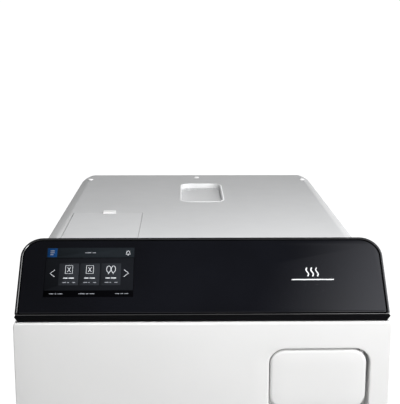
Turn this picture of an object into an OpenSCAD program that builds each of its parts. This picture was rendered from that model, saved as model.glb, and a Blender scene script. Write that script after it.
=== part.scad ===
// Benchtop autoclave: a steel cabinet round a pressure chamber, with a slanted glass
// console above a side-hinged door.  +X right, +Y to the back, +Z up, bench at z = 0.

/* [Overall] */
// Width over the door and the console
overall_w = 452; // [448:1:460]
// Depth from the door face to the back edge of the cover
overall_d = 570; // [566:1:580]
// Height from the bench to the top edge of the console
overall_h = 460; // [458:1:462]
// Width of the sheet-steel cabinet
cabinet_w = 410; // [408:1:412]
// Height of the cabinet's top plane
cover_top = 451; // [450:0.5:452]

/* [Console] */
// Height of the console's lower front edge
console_low_z = 383; // [382:0.5:384]
// Run of the console's slope, front to back
console_run = 74; // [72:1:76]
// Thickness of the console slab
console_t = 16; // [15:0.5:17]
// Radius of the console's upper corners
console_r = 24; // [20:1:28]
// Width of the visible screen
screen_w = 109; // [104:1:112]
// Height of the visible screen, along the slope
screen_h = 68; // [64:1:70]

/* [Chamber] */
// Bore of the chamber
chamber_bore = 279; // [276:1:280]
// Wall of the chamber
chamber_wall = 3; // [2.5:0.1:3]
// Height of the chamber's axis
chamber_z = 215; // [214:0.5:216]
// Thickness of the insulation
insulation_t = 15; // [10:1:15]

/* [Trays] */
// Number of trays on the rack
tray_count = 4; // [4]
// Width of a tray
tray_w = 184; // [180:1:186]
// Length of a tray
tray_l = 360; // [340:5:365]
// Height of a tray's rim
tray_h = 14; // [10:1:18]

/* [Door] */
// Thickness of the door
door_t = 42; // [41:0.5:43]
// Lowest edge of the door
door_low_z = 60; // [59:1:62]
// Highest edge of the door
door_top_z = 375.5; // [375:0.1:375.5]
// Wall of the door's moulded shell
door_wall = 3; // [2.6:0.1:3.2]
// Radius of the hinge pins
hinge_pin_r = 4; // [3.5:0.1:4.5]

/* [Handle] */
// Width of the handle paddle
paddle_w = 115.5; // [112:0.5:116]
// Height of the handle paddle
paddle_h = 76; // [70:1:78]
// Corner radius of the handle paddle
paddle_r = 17.5; // [14:0.5:20]
// Depth of the finger space under the paddle
scoop_h = 28; // [24:1:30]

/* [Top openings] */
// Width of the fill recess
fill_w = 64; // [63:1:67]
// Length of the fill recess
fill_l = 145; // [140:1:148]
// Depth of the fill recess
fill_depth = 7; // [6.5:0.5:7]
// Width of the service hatch
hatch_w = 100; // [96:1:102]

/* [Hidden] */
$fn = 64;

// Fits and small gaps
running = 0.05;
gap = 0.5;

// Places along the depth
front_y = -overall_d / 2;
back_y = overall_d / 2;
bezel_y0 = front_y + 45;
bezel_y1 = bezel_y0 + 47.5;
plate_y0 = bezel_y1 + 0.5;
plate_t = 3;
cover_y0 = plate_y0 + plate_t + 1;
rear_y = back_y - 24;
rear_t = 2;

// Cabinet
cover_t = 2;
cover_r = 16;
cover_low_z = 22;
cover_half = cabinet_w / 2;
pan_half = cover_half - cover_t - 1.5;
pan_t = 2;
pan_z0 = 14;
pan_z1 = 32;
foot_r = 15;
foot_x = 165;
foot_front_y = bezel_y0 + 27;
foot_back_y = rear_y - 30;

// Front surround
bezel_half = overall_w / 2 - 1;
bezel_wall = 3;
bezel_z1 = console_low_z - 7;
mouth_r = 152;

// Console: the slab lies on a plane that rises towards the back
console_y = front_y + 10;
console_rise = overall_h - console_low_z;
console_len = norm([console_run, console_rise]);
console_a = atan2(console_rise, console_run);
console_half = overall_w / 2 - 0.5;
lip_h = 6.5;
lip_z = console_low_z - lip_h;
glass_edge = 5;
glass_t = 3.2;
glass_pocket = 3.5;
screen_x = -138.8;
screen_v = 58.3;
console_floor = 2.5;
bay_w = 134;
bay_h = 82;

// Chamber
chamber_r = chamber_bore / 2;
vessel_r = chamber_r + chamber_wall;
vessel_y0 = bezel_y0 + 16;
vessel_y1 = 180;
cap_h = 35;
cap_r = (vessel_r * vessel_r + cap_h * cap_h) / (2 * cap_h);
flange_y0 = bezel_y0 + 4;
flange_r = mouth_r - 1;
jacket_in = vessel_r + 4.5;
jacket_out = jacket_in + insulation_t;
jacket_half_l = 150;
saddle_t = 12;

// Rack and trays
rack_half = 97;
rack_t = 1.5;
rack_y0 = -215;
rack_y1 = 165;
rack_z0 = 125;
rack_z1 = 305;
ledge_w = 8;
tray_z0 = 141.9;
tray_pitch = 42;
tray_y0 = -205;
tray_wall = 1.2;

// Fill recess, tank and lid
fill_x = 6;
fill_y = 128.5;
fill_r = 16;
lid_t = 3;
lid_top = cover_top - fill_depth;
lid_axis_y = fill_y + fill_l / 2 - fill_r;
lid_knuckle_r = 2.4;
lid_axis_z = lid_top - lid_knuckle_r;
lid_pin_r = 1.2;
well_wall = 3;
neck_r = 17;
tank_x0 = -70;
tank_x1 = 186;
tank_y0 = -15;
tank_y1 = 255;
tank_z0 = chamber_z + jacket_out + 1;
tank_z1 = 430;
tank_wall = 3;

// Service hatch
hatch_x = -132;
hatch_y1 = -20;
hatch_axis_y = cover_y0 + 7;
hatch_axis_z = cover_top - 4;
hatch_lead = 2.4;
hatch_pin_r = 1.2;
hatch_floor = 395;
tab_w = 18;
tab_l = 14;
screw_y = back_y - 45;

// Door hinge
hinge_x = -219;
hinge_y = bezel_y0 - 3;
hinge_zs = [110, 325];
knuckle_r = 7;
knuckle_h = 27;
ear_h = 6;
door_half = overall_w / 2;
door_r = 6;
door_y1 = hinge_y;
door_step_x = hinge_x + 3;
door_step = 10;

// Handle and latch
paddle_x = 139;
paddle_z = 303;
shaft_r = 4;
shaft_x = 192;
shaft_y = front_y + 11;
shaft_z1 = 366;
pocket_gap = 1.6;
pocket_x0 = paddle_x - paddle_w / 2 - pocket_gap;
pocket_x1 = 203;
pocket_z0 = paddle_z - paddle_h / 2 - scoop_h;
pocket_z1 = paddle_z + paddle_h / 2 + pocket_gap;
pocket_depth = 27;
shaft_z0 = pocket_z0 - 11;
boss_h = 7;
hook_z0 = 355;
hook_h = 6;
hook_y = bezel_y0 + 18;
fork_slot = 4.8;
bolt_r = 4;
bolt_z0 = hook_z0 + hook_h + 3;

// Rear fittings, all as [x, z]
fan_at = [-120, 110];
fan_side = 80;
fan_d = 25;
inlet_at = [150, 62];
switch_at = [96, 62];
fuse_at = [[56, 72], [56, 50]];
spigot_at = [0, 60];
spigot_r = 6;
relief_at = [120, 330];
rocker_tilt = 8;

// A rectangle with round corners, centred
module rrect(w, h, r) {
    square([w - 2 * r, h], center = true);
    square([w, h - 2 * r], center = true);
    for (sx = [-1, 1], sz = [-1, 1])
        translate([sx * (w / 2 - r), sz * (h / 2 - r)]) circle(r = r);
}

// An outline drawn in X and Z, given a thickness along +Y
module plate_y(y, t) {
    translate([0, y + t, 0]) rotate([90, 0, 0]) linear_extrude(height = t) children();
}

// A cylinder along +Y
module rod_y(x, y, z, r, l) {
    translate([x, y, z]) rotate([-90, 0, 0]) cylinder(r = r, h = l);
}

// A cylinder along +X
module rod_x(x, y, z, r, l) {
    translate([x, y, z]) rotate([0, 90, 0]) cylinder(r = r, h = l);
}

// A box from its lowest to its highest corner
module block(a, b) {
    translate(a) cube([b[0] - a[0], b[1] - a[1], b[2] - a[2]]);
}

// A flat piece on the console's slope: +Y runs up the slope and +Z out of the glass
module on_slope(w) {
    translate([0, console_y, console_low_z]) rotate([console_a, 0, 0]) translate([0, 0, w]) children();
}

// A ring turned about the chamber's axis
module chamber_ring(y, l, r_in, r_out) {
    difference() {
        rod_y(0, y, chamber_z, r_out, l);
        rod_y(0, y - 1, chamber_z, r_in, l + 2);
    }
}

module base_pan() color("dimgray") {
    difference() {
        block([-pan_half, bezel_y0 + 2, pan_z0], [pan_half, rear_y - 1, pan_z1]);
        block([-pan_half + pan_t, bezel_y0 + 2 + pan_t, pan_z0 + pan_t],
            [pan_half - pan_t, rear_y - 1 - pan_t, pan_z1 + 1]);
        for (i = [0:7])
            block([-100 + i * 26, -60, pan_z0 - 1], [-92 + i * 26, 60, pan_z0 + pan_t + 1]);
    }
}

module feet() color("black") {
    for (sx = [-1, 1], y = [foot_front_y, foot_back_y])
        translate([sx * foot_x, y, 0]) rotate_extrude()
            polygon([[0, 3], [6, 3], [6, 0], [foot_r - 2, 0], [foot_r, 3], [foot_r - 3, pan_z0],
                [0, pan_z0]]);
}

// The cabinet's outline seen from the front, drawn in by an inset
module cabinet_outline(inset, low) {
    half = cover_half - inset;
    r = cover_r - inset;
    top = cover_top - inset;
    translate([-half, low]) square([2 * half, top - r - low]);
    translate([-half + r, low]) square([2 * (half - r), top - low]);
    for (s = [-1, 1]) translate([s * (half - r), top - r]) circle(r = r);
}

module cabinet_cover() color("lightgray") {
    difference() {
        plate_y(cover_y0, back_y - cover_y0) difference() {
            cabinet_outline(0, cover_low_z);
            cabinet_outline(cover_t, cover_low_z - 1);
        }
        translate([fill_x, fill_y, cover_top - 20]) linear_extrude(height = 30) rrect(fill_w, fill_l, fill_r);
        block([hatch_x - hatch_w / 2, cover_y0 - 1, cover_top - 20],
            [hatch_x + hatch_w / 2, hatch_y1, cover_top + 5]);
        for (i = [0:9])
            block([-cover_half - 1, 60 + i * 14, 60], [cover_half + 1, 64 + i * 14, 120]);
        for (p = screw_points()) translate([p[0], p[1], cover_top - 10]) cylinder(r = 2.1, h = 20);
    }
    // The folded edge that covers the rim of the rear panel
    plate_y(rear_y + rear_t + gap, cover_t) difference() {
        cabinet_outline(cover_t / 2, cover_low_z);
        cabinet_outline(12, cover_low_z - 1);
    }
}

function screw_points() = [[-184, screw_y], [0, screw_y + 18], [184, screw_y]];

module cover_screws() color("silver") {
    for (p = screw_points()) translate([p[0], p[1], cover_top]) {
        difference() {
            union() {
                cylinder(r1 = 4.4, r2 = 3.4, h = 1.6);
                translate([0, 0, -6]) cylinder(r = 2, h = 6.5);
            }
            for (a = [0, 90]) rotate([0, 0, a]) translate([-2.2, -0.4, 0.8]) cube([4.4, 0.8, 2]);
        }
    }
}

module rear_panel() color("gainsboro") {
    half = cover_half - cover_t - 2.6;
    low = pan_z1 + gap;
    top = cover_top - cover_t - gap;
    plate_y(rear_y, rear_t) difference() {
        polygon([[-half, low], [half, low], [half, top - 10], [half - 15, top], [-half + 15, top],
            [-half, top - 10]]);
        translate(fan_at) circle(r = 38);
        translate(inlet_at) square([48.4, 28.4], center = true);
        translate(switch_at) square([22.4, 30.4], center = true);
        for (p = fuse_at) translate(p) circle(r = 6.6);
        translate(spigot_at) circle(r = spigot_r + 2.2);
        translate(relief_at) circle(r = 9.4);
        for (i = [0:8]) translate([-60 + i * 15, 190]) square([5, 60]);
    }
}

module front_plate() color("silver") {
    half = cover_half - 1;
    plate_y(plate_y0, plate_t) difference() {
        translate([-half, pan_z1 + 1]) square([2 * half, bezel_z1 - pan_z1 - 1]);
        translate([0, chamber_z]) circle(r = vessel_r + 0.6);
        for (sx = [-1, 1], z = [50, 355]) translate([sx * 150, z]) circle(r = 5);
    }
}

// Hollow front surround with the chamber's mouth, two hinge notches and the latch slot
module front_bezel() color("whitesmoke") {
    difference() {
        block([-bezel_half, bezel_y0, pan_z1 + 2], [bezel_half, bezel_y1, bezel_z1]);
        block([-bezel_half + bezel_wall, bezel_y0 + bezel_wall, pan_z1 + 2 + bezel_wall],
            [bezel_half - bezel_wall, bezel_y1 + 1, bezel_z1 - bezel_wall]);
        rod_y(0, bezel_y0 - 1, chamber_z, mouth_r, 10);
        for (z = hinge_zs) block([-bezel_half - 1, bezel_y0 - 1, z - 26], [-205, bezel_y0 + 18, z + 26]);
        block([150, bezel_y0 - 1, hook_z0 - 4], [206, bezel_y0 + 10, hook_z0 + hook_h + 4]);
        translate([shaft_x, hook_y, bezel_z1 - 10]) cylinder(r = bolt_r + 2, h = 20);
    }
}

module lower_trim() color("gray") {
    half = door_half - 4;
    y0 = front_y + 4;
    y1 = bezel_y0 - 0.5;
    z1 = door_low_z - 3;
    translate([-half, 0, 0]) rotate([90, 0, 90]) linear_extrude(height = 2 * half) difference() {
        polygon([[y1, 18], [y1, z1], [y0, z1], [y0, 32], [y0 + 14, 18]]);
        polygon([[y1 + 1, 21], [y1 + 1, z1 - 3], [y0 + 3, z1 - 3], [y0 + 3, 33.2], [y0 + 15.2, 21]]);
    }
    for (sx = [-1, 1]) translate([sx * (half - 1.5) - 1.5, 0, 0]) rotate([90, 0, 90])
        linear_extrude(height = 3) polygon([[y1, 18], [y1, z1], [y0, z1], [y0, 32], [y0 + 14, 18]]);
}

// The slab's outline: round upper corners, square lower ones
module console_outline(inset, r) {
    half = console_half - inset;
    translate([-half, inset]) square([2 * half, console_len - 2 * inset - r]);
    translate([-half + r, inset]) square([2 * (half - r), console_len - 2 * inset]);
    for (s = [-1, 1]) translate([s * (half - r), console_len - inset - r]) circle(r = r);
}

module fascia_housing() color([0.08, 0.08, 0.09]) {
    wall = 4;
    back = plate_y0 + plate_t;
    low = lip_z;
    high = cover_top - 3;
    difference() {
        union() {
            difference() {
                on_slope(-console_t) linear_extrude(height = console_t) console_outline(0, console_r);
                on_slope(-glass_pocket) linear_extrude(height = glass_pocket + 1)
                    console_outline(glass_edge, console_r - glass_edge);
                on_slope(-console_t - 1) translate([screen_x, screen_v, 0]) linear_extrude(height = 30)
                    square([screen_w + 1, screen_h + 1], center = true);
                on_slope(-console_t - 1)
                    translate([screen_x, screen_v, (console_t + 1 - glass_pocket - console_floor) / 2])
                        cube([bay_w, bay_h, console_t + 1 - glass_pocket - console_floor], center = true);
                // The slab ends level with the lip, clear of the door
                block([-console_half - 1, front_y, low - 30], [console_half + 1, back, low]);
            }
            // Undercut lip below the glass, its ends drawn in
            plate_y(console_y, 14) polygon([[-console_half + 4.5, low], [console_half - 4.5, low],
                [console_half, console_low_z], [-console_half, console_low_z]]);
            // Side cheeks, drawn seen from the right
            for (sx = [-1, 1]) translate([sx * (console_half - wall / 2) - wall / 2, 0, 0])
                rotate([90, 0, 90]) linear_extrude(height = wall)
                    polygon([[console_y + 7, low + 2.5], [console_y + 13, low], [back, low], [back, high],
                        [back - 5, high]]);
            // Back wall and floor
            block([-console_half + wall, back - 3, low], [console_half - wall, back, high - 2]);
            block([-console_half + wall, console_y + 13, low], [console_half - wall, back - 3, low + 2]);
        }
        translate([shaft_x, hook_y, low - 1]) cylinder(r = bolt_r + 2, h = 10);
    }
}

module fascia_glass() color([0.05, 0.05, 0.06]) {
    on_slope(-glass_pocket) linear_extrude(height = glass_t)
        console_outline(glass_edge + 0.6, console_r - glass_edge - 0.6);
}

module display_module() color("midnightblue") {
    on_slope(-11.2) translate([screen_x, screen_v, 2.5]) cube([121, 76, 5], center = true);
}

module display_board() color("darkgreen") {
    on_slope(-15) translate([screen_x, screen_v, 0]) {
        translate([0, 0, 1.6]) cube([118, 72, 1.6], center = true);
        for (sx = [-1, 1], sv = [-1, 1]) translate([sx * 54, sv * 31, 2.4]) cylinder(r = 2.5, h = 1.2);
    }
}

module main_board() color("darkgreen") {
    x = -pan_half + 12;
    block([x, -140, 40], [x + 1.6, 40, 130]);
    for (i = [0:3]) block([x + 1.6, -128 + i * 42, 52], [x + 9, -104 + i * 42, 70 + 6 * i]);
    for (y = [-130, 30], z = [46, 124]) rod_x(x - 8, y, z, 3, 8);
}

module power_supply() color("silver") {
    difference() {
        block([124, -150, pan_z0 + pan_t], [186, -10, 64]);
        for (i = [0:8]) block([130, -142 + i * 15, 58], [180, -136 + i * 15, 70]);
    }
}

// Pressed cylinder with a domed rear end
module chamber_vessel() color("lightsteelblue") {
    translate([0, 0, chamber_z]) rotate([-90, 0, 0]) rotate_extrude($fn = 96) difference() {
        union() {
            translate([0, vessel_y0]) square([vessel_r, vessel_y1 - vessel_y0]);
            intersection() {
                translate([0, vessel_y1 + cap_h - cap_r]) circle(r = cap_r, $fn = 360);
                translate([0, vessel_y1]) square([vessel_r, cap_h + 1]);
            }
        }
        translate([0, vessel_y0 - 1]) square([chamber_r, vessel_y1 - vessel_y0 + 1]);
        intersection() {
            translate([0, vessel_y1 + cap_h - cap_r]) circle(r = cap_r - chamber_wall, $fn = 360);
            translate([0, vessel_y1 - 0.5]) square([chamber_r, cap_h + 1]);
        }
    }
}

module chamber_flange() color("silver") {
    translate([0, flange_y0, chamber_z]) rotate([-90, 0, 0]) rotate_extrude($fn = 96)
        polygon([[chamber_r, 0.8], [chamber_r + 0.8, 0], [flange_r - 1.5, 0], [flange_r, 1.5],
            [flange_r, 12], [chamber_r, 12]]);
}

module band_heaters() color("darkgoldenrod") {
    for (y = [-110, 70]) {
        difference() {
            chamber_ring(y, 40, vessel_r + 0.1, vessel_r + 3.6);
            block([-5, y - 1, chamber_z - 160], [5, y + 41, chamber_z]);
        }
    }
}

module insulation_jacket() color("khaki") {
    chamber_ring(-jacket_half_l, 2 * jacket_half_l, jacket_in, jacket_out);
}

module chamber_saddles() color("slategray") {
    for (y = [-jacket_half_l - saddle_t - 2, jacket_half_l + 2]) {
        difference() {
            block([-110, y, pan_z0 + pan_t], [110, y + saddle_t, 130]);
            rod_y(0, y - 1, chamber_z, vessel_r + 0.1, saddle_t + 2);
            block([-80, y - 1, pan_z0 + pan_t + 12], [80, y + saddle_t + 1, 60]);
        }
    }
}

module tray_rack() color("silver") {
    for (sx = [-1, 1]) {
        difference() {
            block([sx * rack_half - rack_t / 2, rack_y0, rack_z0],
                [sx * rack_half + rack_t / 2, rack_y1, rack_z1]);
            for (i = [0:4], k = [0:tray_count - 1])
                block([sx * rack_half - 2, rack_y0 + 24 + i * 70, tray_z0 + 4 + k * tray_pitch],
                    [sx * rack_half + 2, rack_y0 + 70 + i * 70, tray_z0 + 28 + k * tray_pitch]);
        }
        for (k = [0:tray_count - 1])
            block([sx * (rack_half - ledge_w / 2) - ledge_w / 2, rack_y0, tray_z0 - 1.9 + k * tray_pitch],
                [sx * (rack_half - ledge_w / 2) + ledge_w / 2, rack_y1, tray_z0 - 0.4 + k * tray_pitch]);
    }
    // Two cross frames that stand on the chamber's floor
    for (y = [rack_y0 + 4, rack_y1 - 8]) {
        intersection() {
            rod_y(0, y, chamber_z, chamber_r - 0.4, 3);
            difference() {
                block([-rack_half, y - 1, 70], [rack_half, y + 4, rack_z0 + 3]);
                block([-40, y - 2, 60], [40, y + 5, rack_z0 - 8]);
            }
        }
    }
}

// One perforated tray, counted from the bottom
module tray(k) {
    z = tray_z0 + k * tray_pitch;
    difference() {
        block([-tray_w / 2, tray_y0, z], [tray_w / 2, tray_y0 + tray_l, z + tray_h]);
        block([-tray_w / 2 + tray_wall, tray_y0 + tray_wall, z + tray_wall],
            [tray_w / 2 - tray_wall, tray_y0 + tray_l - tray_wall, z + tray_h + 1]);
        for (i = [0:5], j = [-2:2])
            block([j * 30 - 9, tray_y0 + 24 + i * 54, z - 1], [j * 30 + 9, tray_y0 + 64 + i * 54, z + 3]);
    }
}

module tray_1() color("silver") tray(0);
module tray_2() color("silver") tray(1);
module tray_3() color("silver") tray(2);
module tray_4() color("silver") tray(3);

module reservoir_tank() color("ivory") {
    difference() {
        block([tank_x0, tank_y0, tank_z0], [tank_x1, tank_y1, tank_z1]);
        block([tank_x0 + tank_wall, tank_y0 + tank_wall, tank_z0 + tank_wall],
            [tank_x1 - tank_wall, tank_y1 - tank_wall, tank_z1 - tank_wall]);
        translate([fill_x, fill_y, tank_z1 - 6]) cylinder(r = neck_r + well_wall + gap, h = 10);
    }
}

module fill_well() color("silver") {
    ledge_z = lid_top - lid_t;
    floor_z = ledge_z - 6;
    difference() {
        union() {
            translate([fill_x, fill_y, floor_z]) linear_extrude(height = cover_top - cover_t - 0.1 - floor_z)
                rrect(fill_w + 2 * well_wall, fill_l + 2 * well_wall, fill_r + well_wall);
            translate([fill_x, fill_y, tank_z1 - 14])
                cylinder(r = neck_r + well_wall, h = floor_z - tank_z1 + 15);
        }
        translate([fill_x, fill_y, ledge_z - 0.3]) linear_extrude(height = 30) rrect(fill_w, fill_l, fill_r);
        translate([fill_x, fill_y, floor_z + 3]) linear_extrude(height = 30)
            rrect(fill_w - 12, fill_l - 12, fill_r - 6);
        translate([fill_x, fill_y, tank_z1 - 20]) cylinder(r = neck_r, h = 60);
        block([fill_x - fill_w / 2, lid_axis_y - 6, ledge_z - 2.8],
            [fill_x + fill_w / 2, lid_axis_y + lid_knuckle_r + 0.5, ledge_z + 1]);
        rod_x(fill_x - fill_w, lid_axis_y, lid_axis_z, lid_pin_r + running, 2 * fill_w);
    }
    // Fixed shelf behind the lid, level with it
    intersection() {
        translate([fill_x, fill_y, ledge_z - 0.3]) linear_extrude(height = lid_t + 0.3)
            rrect(fill_w + 1, fill_l + 1, fill_r + 0.5);
        block([fill_x - fill_w, lid_axis_y + lid_knuckle_r + 0.5, 0],
            [fill_x + fill_w, fill_y + fill_l, 500]);
    }
}

module fill_lid() color("lightgray") {
    half = fill_w / 2 - 0.7;
    front = fill_y - fill_l / 2 + 0.7;
    difference() {
        union() {
            translate([0, 0, lid_top - lid_t]) linear_extrude(height = lid_t) {
                translate([fill_x, (lid_axis_y + front) / 2])
                    rrect(2 * half, lid_axis_y - front, fill_r - 0.7);
                translate([fill_x - half, lid_axis_y - fill_r]) square([2 * half, fill_r]);
            }
            rod_x(fill_x - half, lid_axis_y, lid_axis_z, lid_knuckle_r, 2 * half);
        }
        rod_x(fill_x - 40, lid_axis_y, lid_axis_z, lid_pin_r + running, 80);
    }
}

module fill_lid_pin() color("silver") {
    reach = fill_w / 2 + 2;
    rod_x(fill_x - reach, lid_axis_y, lid_axis_z, lid_pin_r, 2 * reach);
}

module hatch_well() color("gainsboro") {
    half = hatch_w / 2 + 4;
    difference() {
        block([hatch_x - half, cover_y0 + 0.5, hatch_floor],
            [hatch_x + half, hatch_y1 + 4, cover_top - cover_t - 0.1]);
        block([hatch_x - half + 1.6, cover_y0 + 2, hatch_floor + 2],
            [hatch_x + half - 1.6, hatch_y1 + 2.4, cover_top]);
    }
    // Two lugs that hold the hinge pin
    for (sx = [-1, 1]) difference() {
        translate([hatch_x + sx * (half - 2.6) - 1.5, hatch_axis_y - 4, hatch_axis_z - 6]) cube([3, 8, 7]);
        rod_x(hatch_x - 80, hatch_axis_y, hatch_axis_z, hatch_pin_r + running, 160);
    }
}

module access_hatch() color("lightgray") {
    half = hatch_w / 2 - 0.5;
    difference() {
        union() {
            block([hatch_x - half, hatch_axis_y - hatch_lead, cover_top - cover_t],
                [hatch_x + half, hatch_y1 - 0.6, cover_top]);
            rod_x(hatch_x - half + 6, hatch_axis_y, hatch_axis_z, 2.5, 2 * half - 12);
            block([hatch_x - half + 6, hatch_axis_y - 1.5, hatch_axis_z],
                [hatch_x + half - 6, hatch_axis_y + 1.5, cover_top - 1]);
            // Stiffening ribs under the panel
            for (sx = [-1, 1])
                block([hatch_x + sx * (half - 8) - 1, hatch_axis_y + 8, cover_top - 6],
                    [hatch_x + sx * (half - 8) + 1, hatch_y1 - 8, cover_top - 1]);
        }
        rod_x(hatch_x - 80, hatch_axis_y, hatch_axis_z, hatch_pin_r + running, 160);
    }
}

module hatch_tab() color("white") {
    x = hatch_x + 1.5;
    y1 = hatch_y1 + 8;
    translate([x, y1 - tab_l / 2, cover_top + 0.4]) linear_extrude(height = 1.6) rrect(tab_w, tab_l, 2);
    block([x - tab_w / 2 + 1, y1 - tab_l + 0.5, cover_top], [x + tab_w / 2 - 1, hatch_y1 - 1, cover_top + 1]);
}

module hatch_pin() color("silver") {
    half = hatch_w / 2 + 2;
    rod_x(hatch_x - half, hatch_axis_y, hatch_axis_z, hatch_pin_r, 2 * half);
}

module air_filter() color("white") {
    y = -160;
    z = hatch_floor + 22.8;
    rod_y(hatch_x, y, z, 20, 90);
    rod_y(hatch_x, y + 90, z, 6, 16);
    for (i = [0:5]) rod_y(hatch_x, y + 6 + i * 14, z, 20.6, 4);
}

// Solenoid valve with a coil on top, its tube towards the chamber
module valve(x, z, y_face) {
    block([x - 14, 226, z - 12], [x + 14, 250, z + 12]);
    translate([x, 238, z + 12]) cylinder(r = 11, h = 26);
    rod_y(x, y_face, z, 4, 226 - y_face);
}

module fill_valve() color("goldenrod") valve(60, 290, 201.2);
module vent_valve() color("goldenrod") valve(-60, 290, 201.2);

module condenser() color("sandybrown") {
    rod_x(40, 236, 150, 6, 120);
    for (i = [0:17]) rod_x(46 + i * 6, 236, 150, 17, 1.2);
}

module fan_housing() color([0.1, 0.1, 0.1]) {
    y = rear_y - fan_d - 0.2;
    difference() {
        translate([fan_at[0], y + fan_d, fan_at[1]]) rotate([90, 0, 0]) linear_extrude(height = fan_d)
            rrect(fan_side, fan_side, 5);
        rod_y(fan_at[0], y + 3, fan_at[1], 37.5, fan_d);
        for (a = [0:3]) translate([fan_at[0], y - 1, fan_at[1]]) rotate([0, a * 90 + 45, 0])
            translate([22, 0, -9]) cube([12, 10, 18]);
    }
    rod_y(fan_at[0], y + 3, fan_at[1], 2.5, 8);
}

module fan_rotor() color([0.15, 0.15, 0.16]) {
    y = rear_y - fan_d + 4;
    difference() {
        union() {
            rod_y(fan_at[0], y, fan_at[1], 15, 18);
            for (a = [0:6]) translate([fan_at[0], y + 9, fan_at[1]]) rotate([0, a * 360 / 7, 0])
                translate([13, 5.2, -6.7]) rotate([38, 0, 0]) cube([22.5, 1.6, 17]);
        }
        rod_y(fan_at[0], y - 1, fan_at[1], 2.5 + running, 8.5);
    }
}

module fan_guard() color("silver") {
    y = rear_y + rear_t;
    for (r = [10, 20, 30, 38]) translate([fan_at[0], y + 1.5, fan_at[1]]) rotate([90, 0, 0]) rotate_extrude()
        translate([r, 0]) circle(r = 1.1, $fn = 24);
    for (a = [0, 90]) translate([fan_at[0], y + 1.5, fan_at[1]]) rotate([0, a + 45, 0])
        translate([-46, 0, 0]) rotate([0, 90, 0]) cylinder(r = 1.1, h = 92, $fn = 24);
    for (a = [0:3]) translate([fan_at[0], y, fan_at[1]]) rotate([0, a * 90 + 45, 0]) translate([46, 0, 0])
        rotate([-90, 0, 0]) cylinder(r = 4, h = 2.6);
}

module power_inlet() color("black") {
    at = inlet_at;
    difference() {
        union() {
            block([at[0] - 24, rear_y - 20, at[1] - 14], [at[0] + 24, rear_y + rear_t, at[1] + 14]);
            plate_y(rear_y + rear_t, 3) translate(at) rrect(56, 34, 4);
        }
        block([at[0] - 14, rear_y - 14, at[1] - 9], [at[0] + 14, rear_y + 10, at[1] + 9]);
    }
    for (p = [[-7, -2], [7, -2], [0, 3]])
        block([at[0] + p[0] - 1, rear_y - 15, at[1] + p[1] - 2.5],
            [at[0] + p[0] + 1, rear_y - 1, at[1] + p[1] + 2.5]);
}

module switch_body() color("black") {
    at = switch_at;
    difference() {
        union() {
            block([at[0] - 11, rear_y - 18, at[1] - 15], [at[0] + 11, rear_y + rear_t, at[1] + 15]);
            plate_y(rear_y + rear_t, 2.5) translate(at) rrect(26, 36, 3);
        }
        block([at[0] - 8, rear_y - 8, at[1] - 12.5], [at[0] + 8, rear_y + 10, at[1] + 12.5]);
    }
}

// Rocker, resting with its lower end pressed in
module power_rocker() color("red") {
    at = switch_at;
    translate([at[0], rear_y + 1, at[1]]) rotate([rocker_tilt, 0, 0]) {
        rod_x(-7.4, 0, 0, 4.5, 14.8);
        translate([-7.4, 0, 0]) rotate([90, 0, 90]) linear_extrude(height = 14.8)
            polygon([[-3, -8], [3.2, -10.8], [5.4, -10.8], [4, 0], [5.4, 10.8], [3.2, 10.8], [-3, 8]]);
    }
}

module fuse_holders() color("black") {
    for (p = fuse_at) difference() {
        union() {
            rod_y(p[0], rear_y - 22, p[1], 6.3, 24);
            rod_y(p[0], rear_y + rear_t, p[1], 9, 7);
        }
        block([p[0] - 5, rear_y + 8, p[1] - 0.8], [p[0] + 5, rear_y + 12, p[1] + 0.8]);
    }
}

// Drain spigot that a hose is pushed on to
module drain_spigot() color("goldenrod") {
    p = spigot_at;
    difference() {
        union() {
            rod_y(p[0], rear_y - 14, p[1], spigot_r + 2, 16);
            rod_y(p[0], rear_y + rear_t, p[1], spigot_r + 4, 3);
            rod_y(p[0], rear_y + rear_t + 3, p[1], spigot_r, 16);
        }
        rod_y(p[0], rear_y - 15, p[1], spigot_r - 2, 60);
    }
}

module relief_valve() color("goldenrod") {
    p = relief_at;
    rod_y(p[0], rear_y - 20, p[1], 9, 22);
    rod_y(p[0], rear_y + rear_t, p[1], 12, 3);
    difference() {
        rod_y(p[0], rear_y + rear_t + 3, p[1], 7.5, 6);
        rod_y(p[0], rear_y + rear_t + 2, p[1], 2.3, 10);
    }
}

// Pull stem with a ring at its end
module relief_ring() color("silver") {
    p = relief_at;
    rod_y(p[0], rear_y + rear_t + 4, p[1], 2.2, 8.5);
    translate([p[0], rear_y + rear_t + 12, p[1] - 10]) rotate([90, 0, 0]) rotate_extrude()
        translate([9, 0]) circle(r = 1.4, $fn = 24);
}

module hinge_brackets() color("silver") {
    for (z = hinge_zs) {
        difference() {
            union() {
                for (s = [-1, 1]) {
                    e = z + s * (knuckle_h / 2 + 0.5 + ear_h / 2) - ear_h / 2;
                    translate([hinge_x, hinge_y, e]) cylinder(r = knuckle_r, h = ear_h);
                    block([hinge_x - 5, hinge_y, e], [hinge_x + 6, bezel_y0 + 14, e + ear_h]);
                }
                block([hinge_x - 3, bezel_y0 + 10, z - 20], [-207, bezel_y0 + 16, z + 20]);
            }
            translate([hinge_x, hinge_y, z - 40]) cylinder(r = hinge_pin_r + running, h = 80);
        }
    }
}

module hinge_pins() color("dimgray") {
    for (z = hinge_zs) translate([hinge_x, hinge_y, z - 21]) {
        cylinder(r = hinge_pin_r, h = 42);
        translate([0, 0, 41.5]) cylinder(r = hinge_pin_r + 1.5, h = 2);
    }
}

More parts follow.
